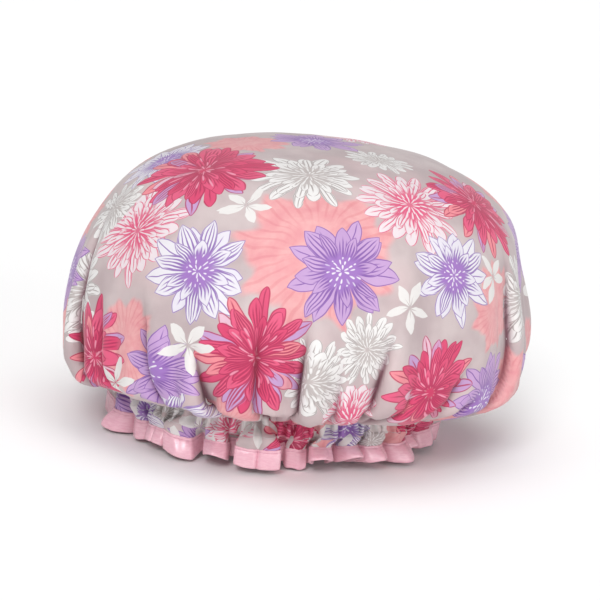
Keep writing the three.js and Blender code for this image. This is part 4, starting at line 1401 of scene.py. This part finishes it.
def elastic():
    """Braided elastic: ribs along the band with crossing yarns."""
    m, t, n, obj, p, out = start_material("braided_elastic")
    rib = n.node("ShaderNodeTexWave", wave_type="BANDS", bands_direction="Z")
    n.put(rib.inputs["Vector"], obj); n.put(rib.inputs["Scale"], 190.0); n.put(rib.inputs["Distortion"], 0.3)
    yarn = n.node("ShaderNodeTexWave", wave_type="BANDS", bands_direction="DIAGONAL")
    n.put(yarn.inputs["Vector"], obj); n.put(yarn.inputs["Scale"], 420.0); n.put(yarn.inputs["Distortion"], 0.8)
    a, b = Sock(n, rib.outputs["Fac"]), Sock(n, yarn.outputs["Fac"])
    n.put(p.inputs["Base Color"], n.mix(a * 0.6 + b * 0.3, srgb(214, 211, 208), srgb(246, 244, 242)))
    n.put(p.inputs["Normal"], bump_of(n, a * 0.00025 + b * 0.0001, 0.8))
    p.inputs["Roughness"].default_value = 0.7
    p.inputs["Sheen Weight"].default_value = 0.3
    t.links.new(p.outputs[0], out.inputs[0])
    return m


MAT = {"shell": printed_cloth(), "film": film(), "satin": satin(), "elastic": elastic(),
       "thread": thread("white_thread_spun", srgb(205, 200, 200), srgb(246, 242, 243)),
       "pink_thread": thread("pink_thread_spun", srgb(214, 150, 172), srgb(240, 186, 202))}

shell = new_mesh("printed_shell", SHELL, SHELL_F, MAT["shell"])
print_layers(shell.data)
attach(shell, "root"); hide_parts("outer_shell")
lining = new_mesh("film_lining", LINING, LINING_F, MAT["film"])
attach(lining, "root"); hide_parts("inner_lining")
band = new_mesh("satin_binding", BAND, BAND_F, MAT["satin"])
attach(band, "root"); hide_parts("hem_binding")

for name, z in (("stitches_upper", ST_TOP), ("stitches_lower", ST_BOT)):
    p, nrm = ring_normals(z, 1.95, 0.9) if z == ST_TOP else (grid_at(RUF, T_ST), grid_at(RUF_N, T_ST))
    V, F_ = stitched_line(p + 0.08 * nrm, nrm, 0.11, 2.5, 0.12)
    o = new_mesh(name, V, F_, MAT["thread"])
    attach(o, "root"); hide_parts("casing_thread_" + name.split("_")[1])
t_st = 1 - (BIND - 1.85) / RUFFLE_LENGTH
p, nrm = grid_at(RUF_B, t_st), grid_at(RUF_BN, t_st)
V, F_ = stitched_line(p + nrm * 0.52, nrm, 0.15, 2.6, 0.13)
o = new_mesh("stitches_binding", V, F_, MAT["pink_thread"])
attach(o, "root"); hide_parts("binding_thread")

for n in ("elastic_band", "elastic_bar_tack"):
    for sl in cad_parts[n].material_slots:
        sl.material = MAT["elastic" if n == "elastic_band" else "thread"]

# ---------------------------------------------------------------- camera, light, floor
AZ, EL, ROLL, DIST = 43.7, 13.0, 6.2, 1.5
az, el = math.radians(AZ), math.radians(EL)
back = Vector((math.sin(az) * math.cos(el), -math.cos(az) * math.cos(el), math.sin(el)))
right = Vector((math.cos(az), math.sin(az), 0))
up = back.cross(right)
roll = math.radians(ROLL)
# the picture is turned clockwise, so the camera is turned the other way
r2 = right * math.cos(roll) + up * math.sin(roll)
u2 = up * math.cos(roll) - right * math.sin(roll)
target = Vector((SHIFT[0], SHIFT[1], 85.0)) * MM
F = 2504.0
dx, dy = (300 - 288.33) / F * DIST, (300 - 292.52) / F * DIST
cam_d = bpy.data.cameras.new("camera")
cam_d.sensor_width = 36.0; cam_d.lens = F / 600 * 36.0
cam_d.clip_end = 20
cam = bpy.data.objects.new("camera", cam_d)
rot = Matrix((r2, u2, back)).transposed().to_4x4()
cam.matrix_world = Matrix.Translation(target + back * DIST + r2 * dx - u2 * dy) @ rot
bpy.context.scene.collection.objects.link(cam)
bpy.context.scene.camera = cam

floor_me = bpy.data.meshes.new("floor")
floor_me.from_pydata([(-4, -4, 0), (4, -4, 0), (4, 4, 0), (-4, 4, 0)], [], [(0, 1, 2, 3)])
floor_mat = bpy.data.materials.new("studio_floor")
floor_mat.use_nodes = True
floor_mat.node_tree.nodes["Principled BSDF"].inputs["Base Color"].default_value = (0.96, 0.96, 0.96, 1)
floor_mat.node_tree.nodes["Principled BSDF"].inputs["Roughness"].default_value = 0.85
floor_me.materials.append(floor_mat)
floor = bpy.data.objects.new("floor", floor_me)
bpy.context.scene.collection.objects.link(floor)


def sun(name, azimuth, elevation, strength, spread, color=(1, 1, 1)):
    """Soft distant light; azimuth 0 shines from -Y, as the camera's does."""
    d = bpy.data.lights.new(name, "SUN"); d.energy = strength; d.angle = math.radians(spread); d.color = color
    o = bpy.data.objects.new(name, d)
    z, e = math.radians(azimuth), math.radians(elevation)
    v = -Vector((math.sin(z) * math.cos(e), -math.cos(z) * math.cos(e), math.sin(e)))
    o.rotation_euler = v.to_track_quat("-Z", "Y").to_euler()
    bpy.context.scene.collection.objects.link(o)
    return o


sun("key", AZ - 11, 34, 1.33, 20)
sun("fill", AZ + 42, 12, 0.66, 36)
sun("top", AZ, 80, 1.27, 60)
world = bpy.context.scene.world or bpy.data.worlds.new("world")
bpy.context.scene.world = world
world.use_nodes = True
world.node_tree.nodes["Background"].inputs[0].default_value = (1, 1, 1, 1)
world.node_tree.nodes["Background"].inputs[1].default_value = 0.41
bpy.context.scene.view_settings.view_transform = "Standard"
